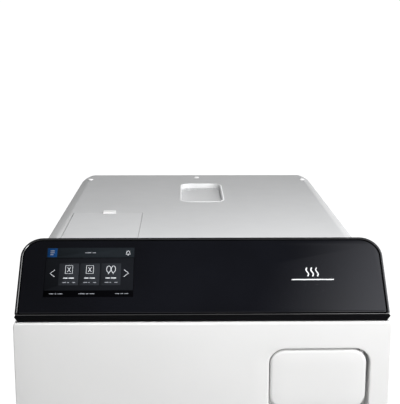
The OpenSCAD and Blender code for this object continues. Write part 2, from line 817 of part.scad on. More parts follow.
module hinge_arms() color("silver") {
    for (z = hinge_zs) {
        difference() {
            union() {
                translate([hinge_x, hinge_y, z - knuckle_h / 2]) cylinder(r = knuckle_r, h = knuckle_h);
                block([hinge_x, hinge_y - 7, z - knuckle_h / 2], [-168, hinge_y - 3, z + knuckle_h / 2]);
            }
            translate([hinge_x, hinge_y, z - 40]) cylinder(r = hinge_pin_r + running, h = 80);
        }
    }
}

module latch_keeper() color("silver") {
    x0 = 176;
    x1 = 204;
    difference() {
        block([x0, hook_y - 12, hook_z0 - 6], [x1, plate_y0, hook_z0 + hook_h + 6]);
        block([x0 - 1, hook_y - 13, hook_z0 - 1.5], [x1 + 1, hook_y + 11, hook_z0 + hook_h + 1.5]);
        translate([shaft_x, hook_y, hook_z0 - 10]) cylinder(r = bolt_r + 0.6, h = 40);
    }
}

module lock_solenoid() color("dimgray") {
    z = lip_z + 2.2;
    difference() {
        translate([shaft_x, hook_y, z]) cylinder(r = 10, h = 22);
        translate([shaft_x, hook_y, z - 1]) cylinder(r = bolt_r + running, h = 20);
    }
}

module lock_bolt() color("silver") {
    translate([shaft_x, hook_y, bolt_z0]) cylinder(r = bolt_r, h = 30);
}

// The door's outline from the front, with round corners, drawn in by an inset
module door_outline(inset) {
    translate([0, (door_top_z + door_low_z) / 2])
        rrect(2 * (door_half - inset), door_top_z - door_low_z - 2 * inset, max(door_r - inset, 1));
}

// The handle pocket's outline, drawn out by a wall
module pocket_outline(wall) {
    translate([(pocket_x0 + pocket_x1) / 2, (pocket_z0 + pocket_z1) / 2])
        rrect(pocket_x1 - pocket_x0 + 2 * wall, pocket_z1 - pocket_z0 + 2 * wall, paddle_r + wall);
}

// Moulded front shell of the door with the handle pocket sunk into it
module door_shell() color("whitesmoke") {
    depth = door_t - 6;
    difference() {
        union() {
            difference() {
                plate_y(front_y, depth) door_outline(0);
                plate_y(front_y + door_wall, depth) door_outline(door_wall);
            }
            plate_y(front_y + 1, pocket_depth + 2) pocket_outline(2.5);
            for (z = [pocket_z1 + 2, pocket_z0 - 2 - boss_h])
                block([shaft_x - 9, front_y + 2, z], [shaft_x + 9, shaft_y + 9, z + boss_h]);
        }
        plate_y(front_y - 1, pocket_depth + 1) pocket_outline(0);
        translate([shaft_x, shaft_y, pocket_z0 - 20]) cylinder(r = shaft_r + running, h = 200);
        block([-door_half - 1, door_y1 - door_step, 0], [door_step_x, door_y1 + 1, 500]);
        for (z = hinge_zs)
            block([-door_half - 1, door_y1 - door_step - 1, z - 26], [hinge_x + 12, door_y1 + 1, z + 26]);
    }
}

module door_liner() color("silver") {
    y = door_y1 - 5.5;
    difference() {
        plate_y(y, 2.5) difference() {
            door_outline(4);
            translate([0, chamber_z]) circle(r = mouth_r + 4);
            translate([155, hook_z0 - 5]) square([50, hook_h + 10]);
        }
        block([-door_half - 1, y - 1, 0], [hinge_x + 14, door_y1 + 1, 500]);
        for (z = hinge_zs) block([-door_half, y - 1, z - 15], [-166, door_y1 + 1, z + 15]);
    }
}

// Pressed steel closure plate with a stiffening rim and a hub that reaches the door's front
module pressure_plate() color("lightsteelblue") {
    y = door_y1 - 11;
    hub = front_y + door_wall + 0.2 - y;
    rim_r = mouth_r - 0.5;
    translate([0, y, chamber_z]) rotate([-90, 0, 0]) rotate_extrude($fn = 96)
        polygon([[0, 2], [60, 2], [80, 4.5], [118, 4.5], [126, 9.5], [126, 12.5], [rim_r, 12.5],
            [rim_r, 0], [rim_r - 2, 0], [rim_r - 2, 9.5], [132, 9.5], [124, 0], [12, 0],
            [12, hub], [0, hub]]);
}

// Lip seal held on the closure plate's rim
module door_gasket() color("firebrick") {
    translate([0, door_y1 + 1.5, chamber_z]) rotate([-90, 0, 0]) rotate_extrude($fn = 96)
        polygon([[chamber_r + 0.5, 0], [mouth_r - 2.5, 0], [mouth_r - 2.5, 3], [mouth_r - 5, 5.2],
            [chamber_r + 3, 5.2], [chamber_r + 0.5, 3]]);
}

module handle_paddle() color("whitesmoke") {
    y = front_y + 0.5;
    x1 = paddle_x + paddle_w / 2;
    difference() {
        union() {
            plate_y(y, 5) translate([paddle_x, paddle_z]) rrect(paddle_w, paddle_h, paddle_r);
            translate([shaft_x, shaft_y, paddle_z - paddle_h / 2 + 16]) cylinder(r = 6.5, h = paddle_h - 32);
            // Finger lip turned back along the free edge
            block([paddle_x - paddle_w / 2 + 4, y + 4, paddle_z - 20],
                [paddle_x - paddle_w / 2 + 8, y + 12, paddle_z + 20]);
        }
        translate([shaft_x, shaft_y, 0]) cylinder(r = shaft_r + running, h = 500);
        block([x1 + 0.8, y - 1, 0], [x1 + 20, y + 40, 500]);
    }
}

module handle_shaft() color("silver") {
    translate([shaft_x, shaft_y, shaft_z0]) cylinder(r = shaft_r, h = shaft_z1 - shaft_z0);
}

// Arm on the handle's shaft that ends in a fork round the lock bolt
module latch_hook() color("silver") {
    z1 = hook_z0 + hook_h;
    difference() {
        union() {
            translate([shaft_x, shaft_y, hook_z0]) cylinder(r = 7.5, h = hook_h);
            block([shaft_x - 5, shaft_y + 2, hook_z0], [shaft_x + 5, hook_y - 10, z1]);
            block([shaft_x - 9, hook_y - 10, hook_z0], [shaft_x + 9, hook_y + 6, z1]);
        }
        translate([shaft_x, shaft_y, 0]) cylinder(r = shaft_r + running, h = 500);
        block([shaft_x - fork_slot, hook_y - fork_slot, hook_z0 - 1],
            [shaft_x + fork_slot, hook_y + 7, z1 + 1]);
    }
}

base_pan();
feet();
cabinet_cover();
rear_panel();
front_plate();
front_bezel();
lower_trim();
fascia_housing();
fascia_glass();
display_module();
display_board();
main_board();
power_supply();
chamber_vessel();
chamber_flange();
band_heaters();
insulation_jacket();
chamber_saddles();
tray_rack();
tray_1();
tray_2();
tray_3();
tray_4();
reservoir_tank();
fill_well();
fill_lid();
fill_lid_pin();
hatch_well();
access_hatch();
hatch_tab();
hatch_pin();
air_filter();
fill_valve();
vent_valve();
condenser();
fan_housing();
fan_rotor();
fan_guard();
power_inlet();
switch_body();
power_rocker();
fuse_holders();
drain_spigot();
relief_valve();
relief_ring();
cover_screws();
hinge_brackets();
hinge_pins();
hinge_arms();
latch_keeper();
lock_solenoid();
lock_bolt();
door_shell();
door_liner();
pressure_plate();
door_gasket();
handle_paddle();
handle_shaft();
latch_hook();
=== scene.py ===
import math

import bmesh
import bpy
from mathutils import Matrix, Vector


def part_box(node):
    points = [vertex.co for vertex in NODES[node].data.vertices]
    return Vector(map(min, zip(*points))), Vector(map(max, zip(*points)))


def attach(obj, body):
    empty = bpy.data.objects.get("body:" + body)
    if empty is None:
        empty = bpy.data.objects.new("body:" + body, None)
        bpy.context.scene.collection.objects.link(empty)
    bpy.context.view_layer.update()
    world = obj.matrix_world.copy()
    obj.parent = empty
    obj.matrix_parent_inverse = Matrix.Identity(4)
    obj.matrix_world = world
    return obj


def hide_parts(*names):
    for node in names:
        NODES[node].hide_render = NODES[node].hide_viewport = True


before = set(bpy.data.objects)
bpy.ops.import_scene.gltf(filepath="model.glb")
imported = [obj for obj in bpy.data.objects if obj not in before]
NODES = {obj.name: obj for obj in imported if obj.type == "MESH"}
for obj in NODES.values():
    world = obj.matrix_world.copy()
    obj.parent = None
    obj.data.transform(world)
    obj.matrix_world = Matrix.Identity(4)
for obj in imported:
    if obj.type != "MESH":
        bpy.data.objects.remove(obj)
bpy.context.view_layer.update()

MM = 0.001

# ---------------------------------------------------------------- places, from the frame
HOUSING_LO, HOUSING_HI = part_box("fascia_housing")
DOOR_LO, DOOR_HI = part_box("door_shell")
COVER_LO, COVER_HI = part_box("cabinet_cover")
PADDLE_LO, PADDLE_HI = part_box("handle_paddle")
LID_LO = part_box("fill_lid")[0]
WELL_LO, WELL_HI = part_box("fill_well")
HATCH_LO, HATCH_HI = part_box("access_hatch")
TAB_LO, TAB_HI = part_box("hatch_tab")
SHAFT_LO, SHAFT_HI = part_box("handle_shaft")

# The console's slope: from its lower front edge up to its top edge
CONSOLE_LOW_Z = HOUSING_LO.z + 6.5 * MM
CONSOLE_RUN = 74 * MM
CONSOLE_RISE = HOUSING_HI.z - CONSOLE_LOW_Z
CONSOLE_LEN = math.hypot(CONSOLE_RUN, CONSOLE_RISE)
CONSOLE_HALF = HOUSING_HI.x
CONSOLE_ORIGIN = Vector((0, HOUSING_LO.y, CONSOLE_LOW_Z))
SLOPE_UP = Vector((0, CONSOLE_RUN, CONSOLE_RISE)).normalized()
SLOPE_OUT = Vector((0, -CONSOLE_RISE, CONSOLE_RUN)).normalized()


def slope(u, v, w=0.0):
    """A point on the console: u to the right, v up the slope, w out of its face."""
    return CONSOLE_ORIGIN + Vector((u, 0, 0)) + SLOPE_UP * v + SLOPE_OUT * w


# ---------------------------------------------------------------- camera
camera = bpy.data.objects.new("camera", bpy.data.cameras.new("camera"))
bpy.context.scene.collection.objects.link(camera)
camera.data.sensor_width = 36
camera.data.lens = 80.5
camera.data.clip_end = 60
camera.location = (-0.0238, -1.3044, 0.7413)
camera.rotation_mode = "XYZ"
camera.rotation_euler = (math.radians(90 - 12.06), math.radians(-0.12), math.radians(-1.085))
bpy.context.scene.camera = camera
bpy.context.scene.view_settings.view_transform = "Standard"


# ---------------------------------------------------------------- materials
class Shader:
    """A principled material with a few node helpers, all in object space."""

    def __init__(self, name, color, rough, metallic=0.0, **sockets):
        self.material = bpy.data.materials.new(name)
        self.material.use_nodes = True
        self.tree = self.material.node_tree
        self.bsdf = self.tree.nodes["Principled BSDF"]
        self.color = (*color, 1.0)
        self.set("Base Color", self.color)
        self.set("Roughness", rough)
        self.set("Metallic", metallic)
        for socket, value in sockets.items():
            self.set(socket.replace("_", " "), value)
        self.coords = self.node("ShaderNodeTexCoord").outputs["Object"]

    def set(self, socket, value):
        self.bsdf.inputs[socket].default_value = value

    def node(self, kind, **values):
        made = self.tree.nodes.new(kind)
        for key, value in values.items():
            setattr(made, key, value)
        return made

    def link(self, out, into):
        self.tree.links.new(out, into)

    def noise(self, scale, detail=3.0, stretch=(1, 1, 1)):
        mapping = self.node("ShaderNodeMapping")
        mapping.inputs["Scale"].default_value = stretch
        self.link(self.coords, mapping.inputs["Vector"])
        tex = self.node("ShaderNodeTexNoise")
        tex.inputs["Scale"].default_value = scale
        tex.inputs["Detail"].default_value = detail
        self.link(mapping.outputs["Vector"], tex.inputs["Vector"])
        return tex.outputs["Fac"]

    def ramp(self, value, low, high, start=0.3, stop=0.7):
        made = self.node("ShaderNodeValToRGB")
        made.color_ramp.elements[0].position = start
        made.color_ramp.elements[1].position = stop
        made.color_ramp.elements[0].color = (*low, 1.0)
        made.color_ramp.elements[1].color = (*high, 1.0)
        self.link(value, made.inputs["Fac"])
        return made.outputs["Color"]

    def range(self, value, low, high):
        made = self.node("ShaderNodeMapRange")
        made.inputs["To Min"].default_value = low
        made.inputs["To Max"].default_value = high
        self.link(value, made.inputs["Value"])
        return made.outputs["Result"]

    def bump(self, value, strength, distance):
        made = self.node("ShaderNodeBump")
        made.inputs["Strength"].default_value = strength
        made.inputs["Distance"].default_value = distance
        self.link(value, made.inputs["Height"])
        self.link(made.outputs["Normal"], self.bsdf.inputs["Normal"])

    def vary(self, scale, amount, detail=4.0, stretch=(1, 1, 1)):
        """Light and dark drift of the base colour."""
        dark = [c * (1 - amount) for c in self.color[:3]]
        light = [min(1.0, c * (1 + amount)) for c in self.color[:3]]
        pattern = self.noise(scale, detail, stretch=stretch)
        self.link(self.ramp(pattern, dark, light), self.bsdf.inputs["Base Color"])
        return self

    def gloss(self, scale, low, high, detail=4.0, stretch=(1, 1, 1)):
        """Patchy roughness between two values."""
        pattern = self.noise(scale, detail, stretch=stretch)
        self.link(self.range(pattern, low, high), self.bsdf.inputs["Roughness"])
        return self

    def grain(self, scale, strength, distance=0.0002, stretch=(1, 1, 1), detail=2.0):
        """Fine surface relief."""
        self.bump(self.noise(scale, detail, stretch=stretch), strength, distance)
        return self


def lighten_convex_edges(shader, light, amount):
    """Slightly lighter convex edges, from the mesh's pointiness."""
    geometry = shader.node("ShaderNodeNewGeometry")
    mask = shader.ramp(geometry.outputs["Pointiness"], (0, 0, 0), (1, 1, 1), 0.52, 0.62)
    mix = shader.node("ShaderNodeMix", data_type="RGBA")
    scale = shader.node("ShaderNodeMath", operation="MULTIPLY")
    scale.inputs[1].default_value = amount
    shader.link(mask, scale.inputs[0])
    shader.link(scale.outputs[0], mix.inputs["Factor"])
    shader.link(shader.bsdf.inputs["Base Color"].links[0].from_socket, mix.inputs["A"])
    mix.inputs["B"].default_value = (*light, 1.0)
    shader.link(mix.outputs["Result"], shader.bsdf.inputs["Base Color"])
    return shader


def white_plastic():
    rough = 0.34
    return Shader("white_plastic", (0.80, 0.80, 0.795), rough, Coat_Weight=0.15, Coat_Roughness=0.2) \
        .vary(9, 0.012).gloss(30, rough - 0.05, rough + 0.06).grain(2600, 0.05, 0.00006).material


def painted_steel(name, color, rough=0.42):
    shader = Shader(name, color, rough).vary(6, 0.02).gloss(40, rough - 0.06, rough + 0.08)
    return lighten_convex_edges(shader.grain(1500, 0.12, 0.00012), [min(1, c * 1.2) for c in color], 0.25).material


def black_gloss():
    return Shader("console_black", (0.008, 0.008, 0.009), 0.16, Specular_IOR_Level=1.0, Coat_Weight=1.0,
                  Coat_Roughness=0.06) \
        .vary(14, 0.2).gloss(60, 0.13, 0.22).grain(900, 0.02, 0.00005).material


def console_glass():
    return Shader("console_glass", (0.0030, 0.0033, 0.0050), 0.045, IOR=1.5, Coat_Weight=0.1,
                  Coat_Roughness=0.02).vary(10, 0.25).gloss(18, 0.035, 0.06).material


def matte_plastic(name, color, rough=0.55):
    return Shader(name, color, rough).vary(20, 0.06).gloss(50, rough - 0.08, rough + 0.1) \
        .grain(1400, 0.25, 0.0002).material


def lip_black_painted_shade():
    """Dull black under the console's edge, with hardly any sheen: black plastic, made darker and duller than
    the console's other blacks as painted shade.
    """
    return Shader("lip_black_painted_shade", (0.0025, 0.0025, 0.003), 0.8, Specular_IOR_Level=0.06) \
        .vary(20, 0.2).gloss(40, 0.7, 0.9).grain(900, 0.2, 0.0001).material


def brushed_steel(name, color=(0.62, 0.62, 0.61), along=(1, 40, 40)):
    rough = 0.28
    shader = Shader(name, color, rough, 1.0).vary(60, 0.06, stretch=along)
    return shader.gloss(90, rough - 0.08, rough + 0.14, stretch=along) \
        .grain(120, 0.12, 0.0001, along).material


def zinc_steel():
    shader = Shader("zinc_steel", (0.50, 0.51, 0.52), 0.36, 1.0).vary(35, 0.16, detail=6)
    return shader.gloss(25, 0.26, 0.5, detail=6).grain(500, 0.08, 0.0001).material


def polished_steel():
    return Shader("polished_steel", (0.72, 0.72, 0.73), 0.14, 1.0).vary(80, 0.05).gloss(120, 0.1, 0.22) \
        .grain(900, 0.05, 0.00005).material


def satin_aluminium():
    return Shader("satin_aluminium", (0.70, 0.71, 0.72), 0.34, 1.0).vary(30, 0.05) \
        .gloss(200, 0.28, 0.42, stretch=(1, 12, 1)).grain(1200, 0.1, 0.0001).material


def turned_brass(name="turned_brass", color=(0.72, 0.50, 0.20)):
    return Shader(name, color, 0.26, 1.0).vary(50, 0.12).gloss(80, 0.2, 0.4).grain(700, 0.06, 0.0001).material


def rubber(name, color, rough=0.62):
    return Shader(name, color, rough, Sheen_Weight=0.15).vary(40, 0.12) \
        .gloss(60, rough - 0.08, rough + 0.12).grain(900, 0.3, 0.0002).material


def felt():
    return Shader("glass_felt", (0.66, 0.60, 0.44), 0.92, Sheen_Weight=0.4).vary(90, 0.22, detail=8) \
        .grain(320, 0.8, 0.0012, detail=8).material


def board():
    """Solder mask with copper traces showing through as fine lines."""
    shader = Shader("solder_mask", (0.016, 0.13, 0.055), 0.3, Coat_Weight=0.5, Coat_Roughness=0.1)
    brick = shader.node("ShaderNodeTexBrick")
    brick.inputs["Scale"].default_value = 160
    brick.inputs["Mortar Size"].default_value = 0.06
    brick.inputs["Color1"].default_value = (0.012, 0.11, 0.045, 1)
    brick.inputs["Color2"].default_value = (0.02, 0.15, 0.06, 1)
    brick.inputs["Mortar"].default_value = (0.05, 0.26, 0.11, 1)
    swap = shader.node("ShaderNodeMapping")
    swap.inputs["Rotation"].default_value = (math.radians(90), 0, math.radians(90))
    shader.link(shader.coords, swap.inputs["Vector"])
    shader.link(swap.outputs["Vector"], brick.inputs["Vector"])
    shader.link(brick.outputs["Color"], shader.bsdf.inputs["Base Color"])
    return shader.material


def lit(name, color, strength, scale=260):
    """A lit part of the screen: a dark base with a faint pixel texture in its glow."""
    shader = Shader(name, color, 0.6, Specular_IOR_Level=0.0)
    shader.vary(scale, 0.04)
    shader.set("Emission Strength", strength)
    low = [c * 0.94 for c in color]
    shader.link(shader.ramp(shader.noise(scale, 1.0), low, color), shader.bsdf.inputs["Emission Color"])
    return shader.material


WHITE = white_plastic()
GREY = painted_steel("cabinet_paint", (0.50, 0.505, 0.51))
PANEL_GREY = painted_steel("panel_paint", (0.47, 0.475, 0.48), 0.5)
LID_GREY = painted_steel("lid_paint", (0.57, 0.575, 0.58), 0.36)
# The recess is pressed in the cover's sheet, but its paint is made much lighter than the cover's: painted
# light for its brightly lit walls and bead.
RECESS_GREY_PAINTED_LIGHT = painted_steel("recess_paint_painted_light", (0.76, 0.765, 0.77), 0.36)
BLACK = black_gloss()
GLASS = console_glass()
LIP_BLACK_PAINTED_SHADE = lip_black_painted_shade()
TRIM = matte_plastic("trim_plastic", (0.20, 0.205, 0.21))
BLACK_PLASTIC = matte_plastic("black_plastic", (0.018, 0.018, 0.019))
CHAMBER_STEEL = brushed_steel("chamber_steel", along=(40, 1, 40))
PLATE_STEEL = brushed_steel("plate_steel", (0.64, 0.64, 0.63), along=(1, 40, 40))
ZINC = zinc_steel()
BRIGHT = polished_steel()
ALUMINIUM = satin_aluminium()
BRASS = turned_brass()
HEATER = turned_brass("heater_band", (0.45, 0.33, 0.16))
COPPER = turned_brass("copper", (0.75, 0.36, 0.22))
FELT = felt()
BOARD = board()
TANK = matte_plastic("tank_plastic", (0.74, 0.73, 0.67), 0.4)
# The screws are painted near white, a painted highlight for the glints of light that they catch.
SCREW_PAINTED_HIGHLIGHT = painted_steel("screw_paint_painted_highlight", (0.93, 0.93, 0.93), 0.3)
SEAL = rubber("seal_silicone", (0.34, 0.035, 0.02), 0.5)
FOOT = rubber("foot_rubber", (0.012, 0.012, 0.013))
PANEL_LIT = lit("panel_lit", (0.010, 0.012, 0.018), 0.4)

NODE_MATERIALS = {
    GREY: ["cabinet_cover", "access_hatch"],
    LID_GREY: ["fill_lid", "fill_well"],
    PANEL_GREY: ["rear_panel", "hatch_well"],
    WHITE: ["front_bezel", "door_shell", "handle_paddle", "hatch_tab"],
    TRIM: ["lower_trim"],
    BLACK: ["fascia_housing"],
    GLASS: ["fascia_glass"],
    PANEL_LIT: ["display_module"],
    BOARD: ["display_board", "main_board"],
    CHAMBER_STEEL: ["chamber_vessel", "chamber_flange"],
    PLATE_STEEL: ["pressure_plate", "door_liner"],
    ZINC: ["base_pan", "front_plate", "chamber_saddles", "power_supply", "hinge_brackets", "hinge_arms",
           "latch_keeper", "latch_hook", "lock_solenoid"],
    BRIGHT: ["hinge_pins", "handle_shaft", "lock_bolt", "fill_lid_pin", "hatch_pin", "relief_ring",
             "fan_guard"],
    SCREW_PAINTED_HIGHLIGHT: ["cover_screws"],
    ALUMINIUM: ["tray_1", "tray_2", "tray_3", "tray_4", "tray_rack"],
    HEATER: ["band_heaters"],
    BRASS: ["fill_valve", "vent_valve", "drain_spigot", "relief_valve"],
    COPPER: ["condenser"],
    FELT: ["insulation_jacket"],
    TANK: ["reservoir_tank", "air_filter"],
    SEAL: ["door_gasket"],
    FOOT: ["feet"],
    BLACK_PLASTIC: ["fan_housing", "fan_rotor", "power_inlet", "switch_body", "power_rocker", "fuse_holders"],
}

# Edge rounding put on the CAD nodes that stay, in millimetres
NODE_BEVELS = {
    0.25: ["tray_1", "tray_2", "tray_3", "tray_4", "tray_rack", "hatch_pin", "fill_lid_pin",
           "cover_screws", "hatch_tab"],
    0.4: ["access_hatch", "rear_panel", "front_plate", "door_liner", "hinge_pins", "relief_valve",
          "fan_rotor", "fuse_holders", "drain_spigot", "base_pan", "chamber_saddles", "fill_valve",
          "vent_valve"],
    0.6: ["fill_lid", "hinge_arms", "hinge_brackets", "latch_keeper", "latch_hook", "power_inlet",
          "switch_body", "power_rocker", "fan_housing"],
    1.0: ["fill_well", "feet", "door_gasket", "pressure_plate", "chamber_flange", "hatch_well"],
    2.0: ["lower_trim", "front_bezel", "reservoir_tank", "power_supply"],
}


def soften(obj, width, segments=2, angle=35):
    """Rounds an object's sharp edges with a modifier and shades it smooth."""
    bevel = obj.modifiers.new("edge_round", "BEVEL")
    bevel.width = width
    bevel.segments = segments
    bevel.limit_method = "ANGLE"
    bevel.angle_limit = math.radians(angle)
    bevel.harden_normals = True
    for polygon in obj.data.polygons:
        polygon.use_smooth = True
    return obj


def dress_nodes():
    """Gives every CAD node its material, and most of them rounded edges."""
    for material, names in NODE_MATERIALS.items():
        for name in names:
            NODES[name].data.materials.clear()
            NODES[name].data.materials.append(material)
    for width, names in NODE_BEVELS.items():
        for name in names:
            soften(NODES[name], width * MM)


dress_nodes()

# ---------------------------------------------------------------- mesh helpers
CORNER_STEPS = 10
SIDE_STEPS = 6


def round_outline(x0, x1, z0, z1, radii):
    """Points round a rectangle with round corners, the same number for any size.
    radii are for the corners at lower right, upper right, upper left and lower left."""
    centres = [(x1, z0, 1, -1, -90), (x1, z1, 1, 1, 0), (x0, z1, -1, 1, 90), (x0, z0, -1, -1, 180)]
    corners = []
    for (cx, cz, sx, sz, first), r in zip(centres, radii):
        arc = []
        for i in range(CORNER_STEPS + 1):
            a = math.radians(first + 90 * i / CORNER_STEPS)
            arc.append((cx - sx * r + r * math.cos(a), cz - sz * r + r * math.sin(a)))
        corners.append(arc)
    points = []
    for arc, following in zip(corners, corners[1:] + corners[:1]):
        points += arc
        (ax, az), (bx, bz) = arc[-1], following[0]
        for i in range(1, SIDE_STEPS):
            t = i / SIDE_STEPS
            points.append((ax + (bx - ax) * t, az + (bz - az) * t))
    return points


def mesh_object(name, verts, faces, material):
    mesh = bpy.data.meshes.new(name)
    mesh.from_pydata([tuple(v) for v in verts], [], faces)
    mesh.validate()
    obj = bpy.data.objects.new(name, mesh)
    bpy.context.scene.collection.objects.link(obj)
    mesh.materials.append(material)
    for polygon in mesh.polygons:
        polygon.use_smooth = True
    return obj


def loft(name, rings, material, cap_first=False, cap_last=False, closed=True):
    """Joins rings of equal length with quads, and may cap the first and last."""
    count = len(rings[0])
    verts = [v for ring in rings for v in ring]
    faces = []
    last = count if closed else count - 1
    for r in range(len(rings) - 1):
        for i in range(last):
            j = (i + 1) % count
            a, b = r * count, (r + 1) * count
            faces.append((a + i, a + j, b + j, b + i))
    if cap_first:
        faces.append(tuple(reversed(range(count))))
    if cap_last:
        faces.append(tuple(range((len(rings) - 1) * count, len(rings) * count)))
    obj = mesh_object(name, verts, faces, material)
    tidy_normals(obj)
    return obj


def tidy_normals(obj):
    """Makes the faces agree on which side is out."""
    work = bmesh.new()
    work.from_mesh(obj.data)
    bmesh.ops.remove_doubles(work, verts=work.verts, dist=1e-6)
    bmesh.ops.recalc_face_normals(work, faces=work.faces)
    work.to_mesh(obj.data)
    work.free()


def block(name, low, high, material):
    """A box, used as a cutter or rounded afterwards."""
    obj = mesh_object(name, *box_faces(low, high), material)
    tidy_normals(obj)
    return obj


def box_faces(low, high):
    verts = [(x, y, z) for x in (low[0], high[0]) for y in (low[1], high[1]) for z in (low[2], high[2])]
    faces = [(0, 1, 3, 2), (4, 6, 7, 5), (0, 4, 5, 1), (2, 3, 7, 6), (0, 2, 6, 4), (1, 5, 7, 3)]
    return verts, faces


def boxes(name, spans, material):
    """Several separate boxes in one object."""
    verts, faces = [], []
    for low, high in spans:
        v, f = box_faces(low, high)
        faces += [tuple(i + len(verts) for i in face) for face in f]
        verts += v
    obj = mesh_object(name, verts, faces, material)
    tidy_normals(obj)
    return obj


def upright(x, z, y):
    """Places an outline drawn in the front view at a depth."""
    return Vector((x, y, z))


def prism(name, outline, place, near, far, material):
    """An outline given depth: place(a, b, depth) puts each point in space."""
    rings = [[place(a, b, depth) for a, b in outline] for depth in (near, far)]
    return loft(name, rings, material, cap_first=True, cap_last=True)


def settle(obj):
    """Applies an object's modifiers, so that its mesh is the final one."""
    bpy.context.view_layer.update()
    evaluated = obj.evaluated_get(bpy.context.evaluated_depsgraph_get())
    mesh = bpy.data.meshes.new_from_object(evaluated)
    obj.modifiers.clear()
    obj.data = mesh
    return obj


def cut(obj, *cutters):
    """Takes the cutters' shapes out of obj, and deletes them."""
    for cutter in cutters:
        boolean = obj.modifiers.new("cut", "BOOLEAN")
        boolean.object = cutter
        boolean.operation = "DIFFERENCE"
        boolean.solver = "EXACT"
    settle(obj)
    for cutter in cutters:
        bpy.data.objects.remove(cutter)
    return obj


def thicken(obj, thickness):
    """Turns a surface into a wall, grown inwards."""
    solid = obj.modifiers.new("wall", "SOLIDIFY")
    solid.thickness = thickness
    solid.offset = -1.0
    return settle(obj)


def shade(obj, angle=30):
    """Smooth shading that keeps edges sharper than the angle, settled into the mesh."""
    for polygon in obj.data.polygons:
        polygon.use_smooth = True
    work = bmesh.new()
    work.from_mesh(obj.data)
    limit = math.radians(angle)
    for edge in work.edges:
        edge.smooth = len(edge.link_faces) != 2 or edge.calc_face_angle(0.0) < limit
    work.to_mesh(obj.data)
    work.free()
    return obj


def join(name, parts):
    """Merges several objects into one piece."""
    verts, faces, slots, materials = [], [], [], []
    for part in parts:
        for m in part.data.materials:
            if m not in materials:
                materials.append(m)
        start = len(verts)
        verts += [part.matrix_world @ v.co for v in part.data.vertices]
        for polygon in part.data.polygons:
            faces.append(tuple(start + i for i in polygon.vertices))
            slots.append(materials.index(part.data.materials[polygon.material_index]))
    obj = mesh_object(name, verts, faces, materials[0])
    for m in materials[1:]:
        obj.data.materials.append(m)
    for polygon, index in zip(obj.data.polygons, slots):
        polygon.material_index = index
    for part in parts:
        bpy.data.objects.remove(part)
    return obj


def quarter(steps=6):
    """Steps of a quarter turn as (1 - cos, 1 - sin), for a fillet from side to face."""
    return [(1 - math.cos(math.pi / 2 * i / steps), 1 - math.sin(math.pi / 2 * i / steps))
            for i in range(steps + 1)]


def finish_piece(obj, body, slot, *replaced):
    """Ties a piece to its body, and takes the place of CAD nodes; its slot is not used."""
    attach(obj, body)
    if replaced:
        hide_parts(*replaced)


# ---------------------------------------------------------------- console
# Widths of the frame's rim (sides and top, then foot), of its two rounded edges and of the groove
RIM = 3.0 * MM
RIM_FOOT = 1.9 * MM
RIM_FILLET = 1.2 * MM
RIM_EDGE = 0.6 * MM
GROOVE = 1.2 * MM
GROOVE_DEPTH = 3.4 * MM
# Height of the glass over the console's face
GLASS_W = -0.3 * MM
# How far the black lip under the console stands forward
LIP_REACH = 3.6 * MM
CONSOLE_R = 27 * MM
FOOT_R = 3.5 * MM
SLAB_T = 16 * MM
# Radius of the upper corners of what joins the slab to the cabinet
BODY_R = 13 * MM


def console_ring(inset, w):
    """The console's outline, drawn in by inset (less along its foot), at height w over its face."""
    top = max(CONSOLE_R - inset, 1 * MM)
    foot = max(FOOT_R - inset * 0.2, 1 * MM)
    rise = inset - (RIM - RIM_FOOT) * min(1.0, max(0.0, (inset - RIM_FILLET) / (RIM - RIM_FILLET - RIM_EDGE)))
    points = round_outline(-CONSOLE_HALF + inset, CONSOLE_HALF - inset, rise, CONSOLE_LEN - inset,
                           (foot, top, top, foot))
    return [slope(u, v, w) for u, v in points]


def make_console_frame():
    """The slab's glossy rim, and the groove that the glass lies in, given the dull darker black as painted
    shade.
    """
    rings = [console_ring(2 * MM, -SLAB_T), console_ring(0, -SLAB_T + 2 * MM)]
    rings += [console_ring(RIM_FILLET * a, -RIM_FILLET * b) for a, b in quarter(7)]
    rings += [console_ring(RIM - RIM_EDGE, 0), console_ring(RIM, -RIM_EDGE)]
    groove = [console_ring(RIM, -RIM_EDGE), console_ring(RIM, -GROOVE_DEPTH),
              console_ring(RIM + 6 * MM, -GROOVE_DEPTH)]
    parts = [loft("rim", rings, BLACK, cap_first=True), loft("groove", groove, LIP_BLACK_PAINTED_SHADE, cap_last=True)]
    return shade(join("console_frame", parts), 40)


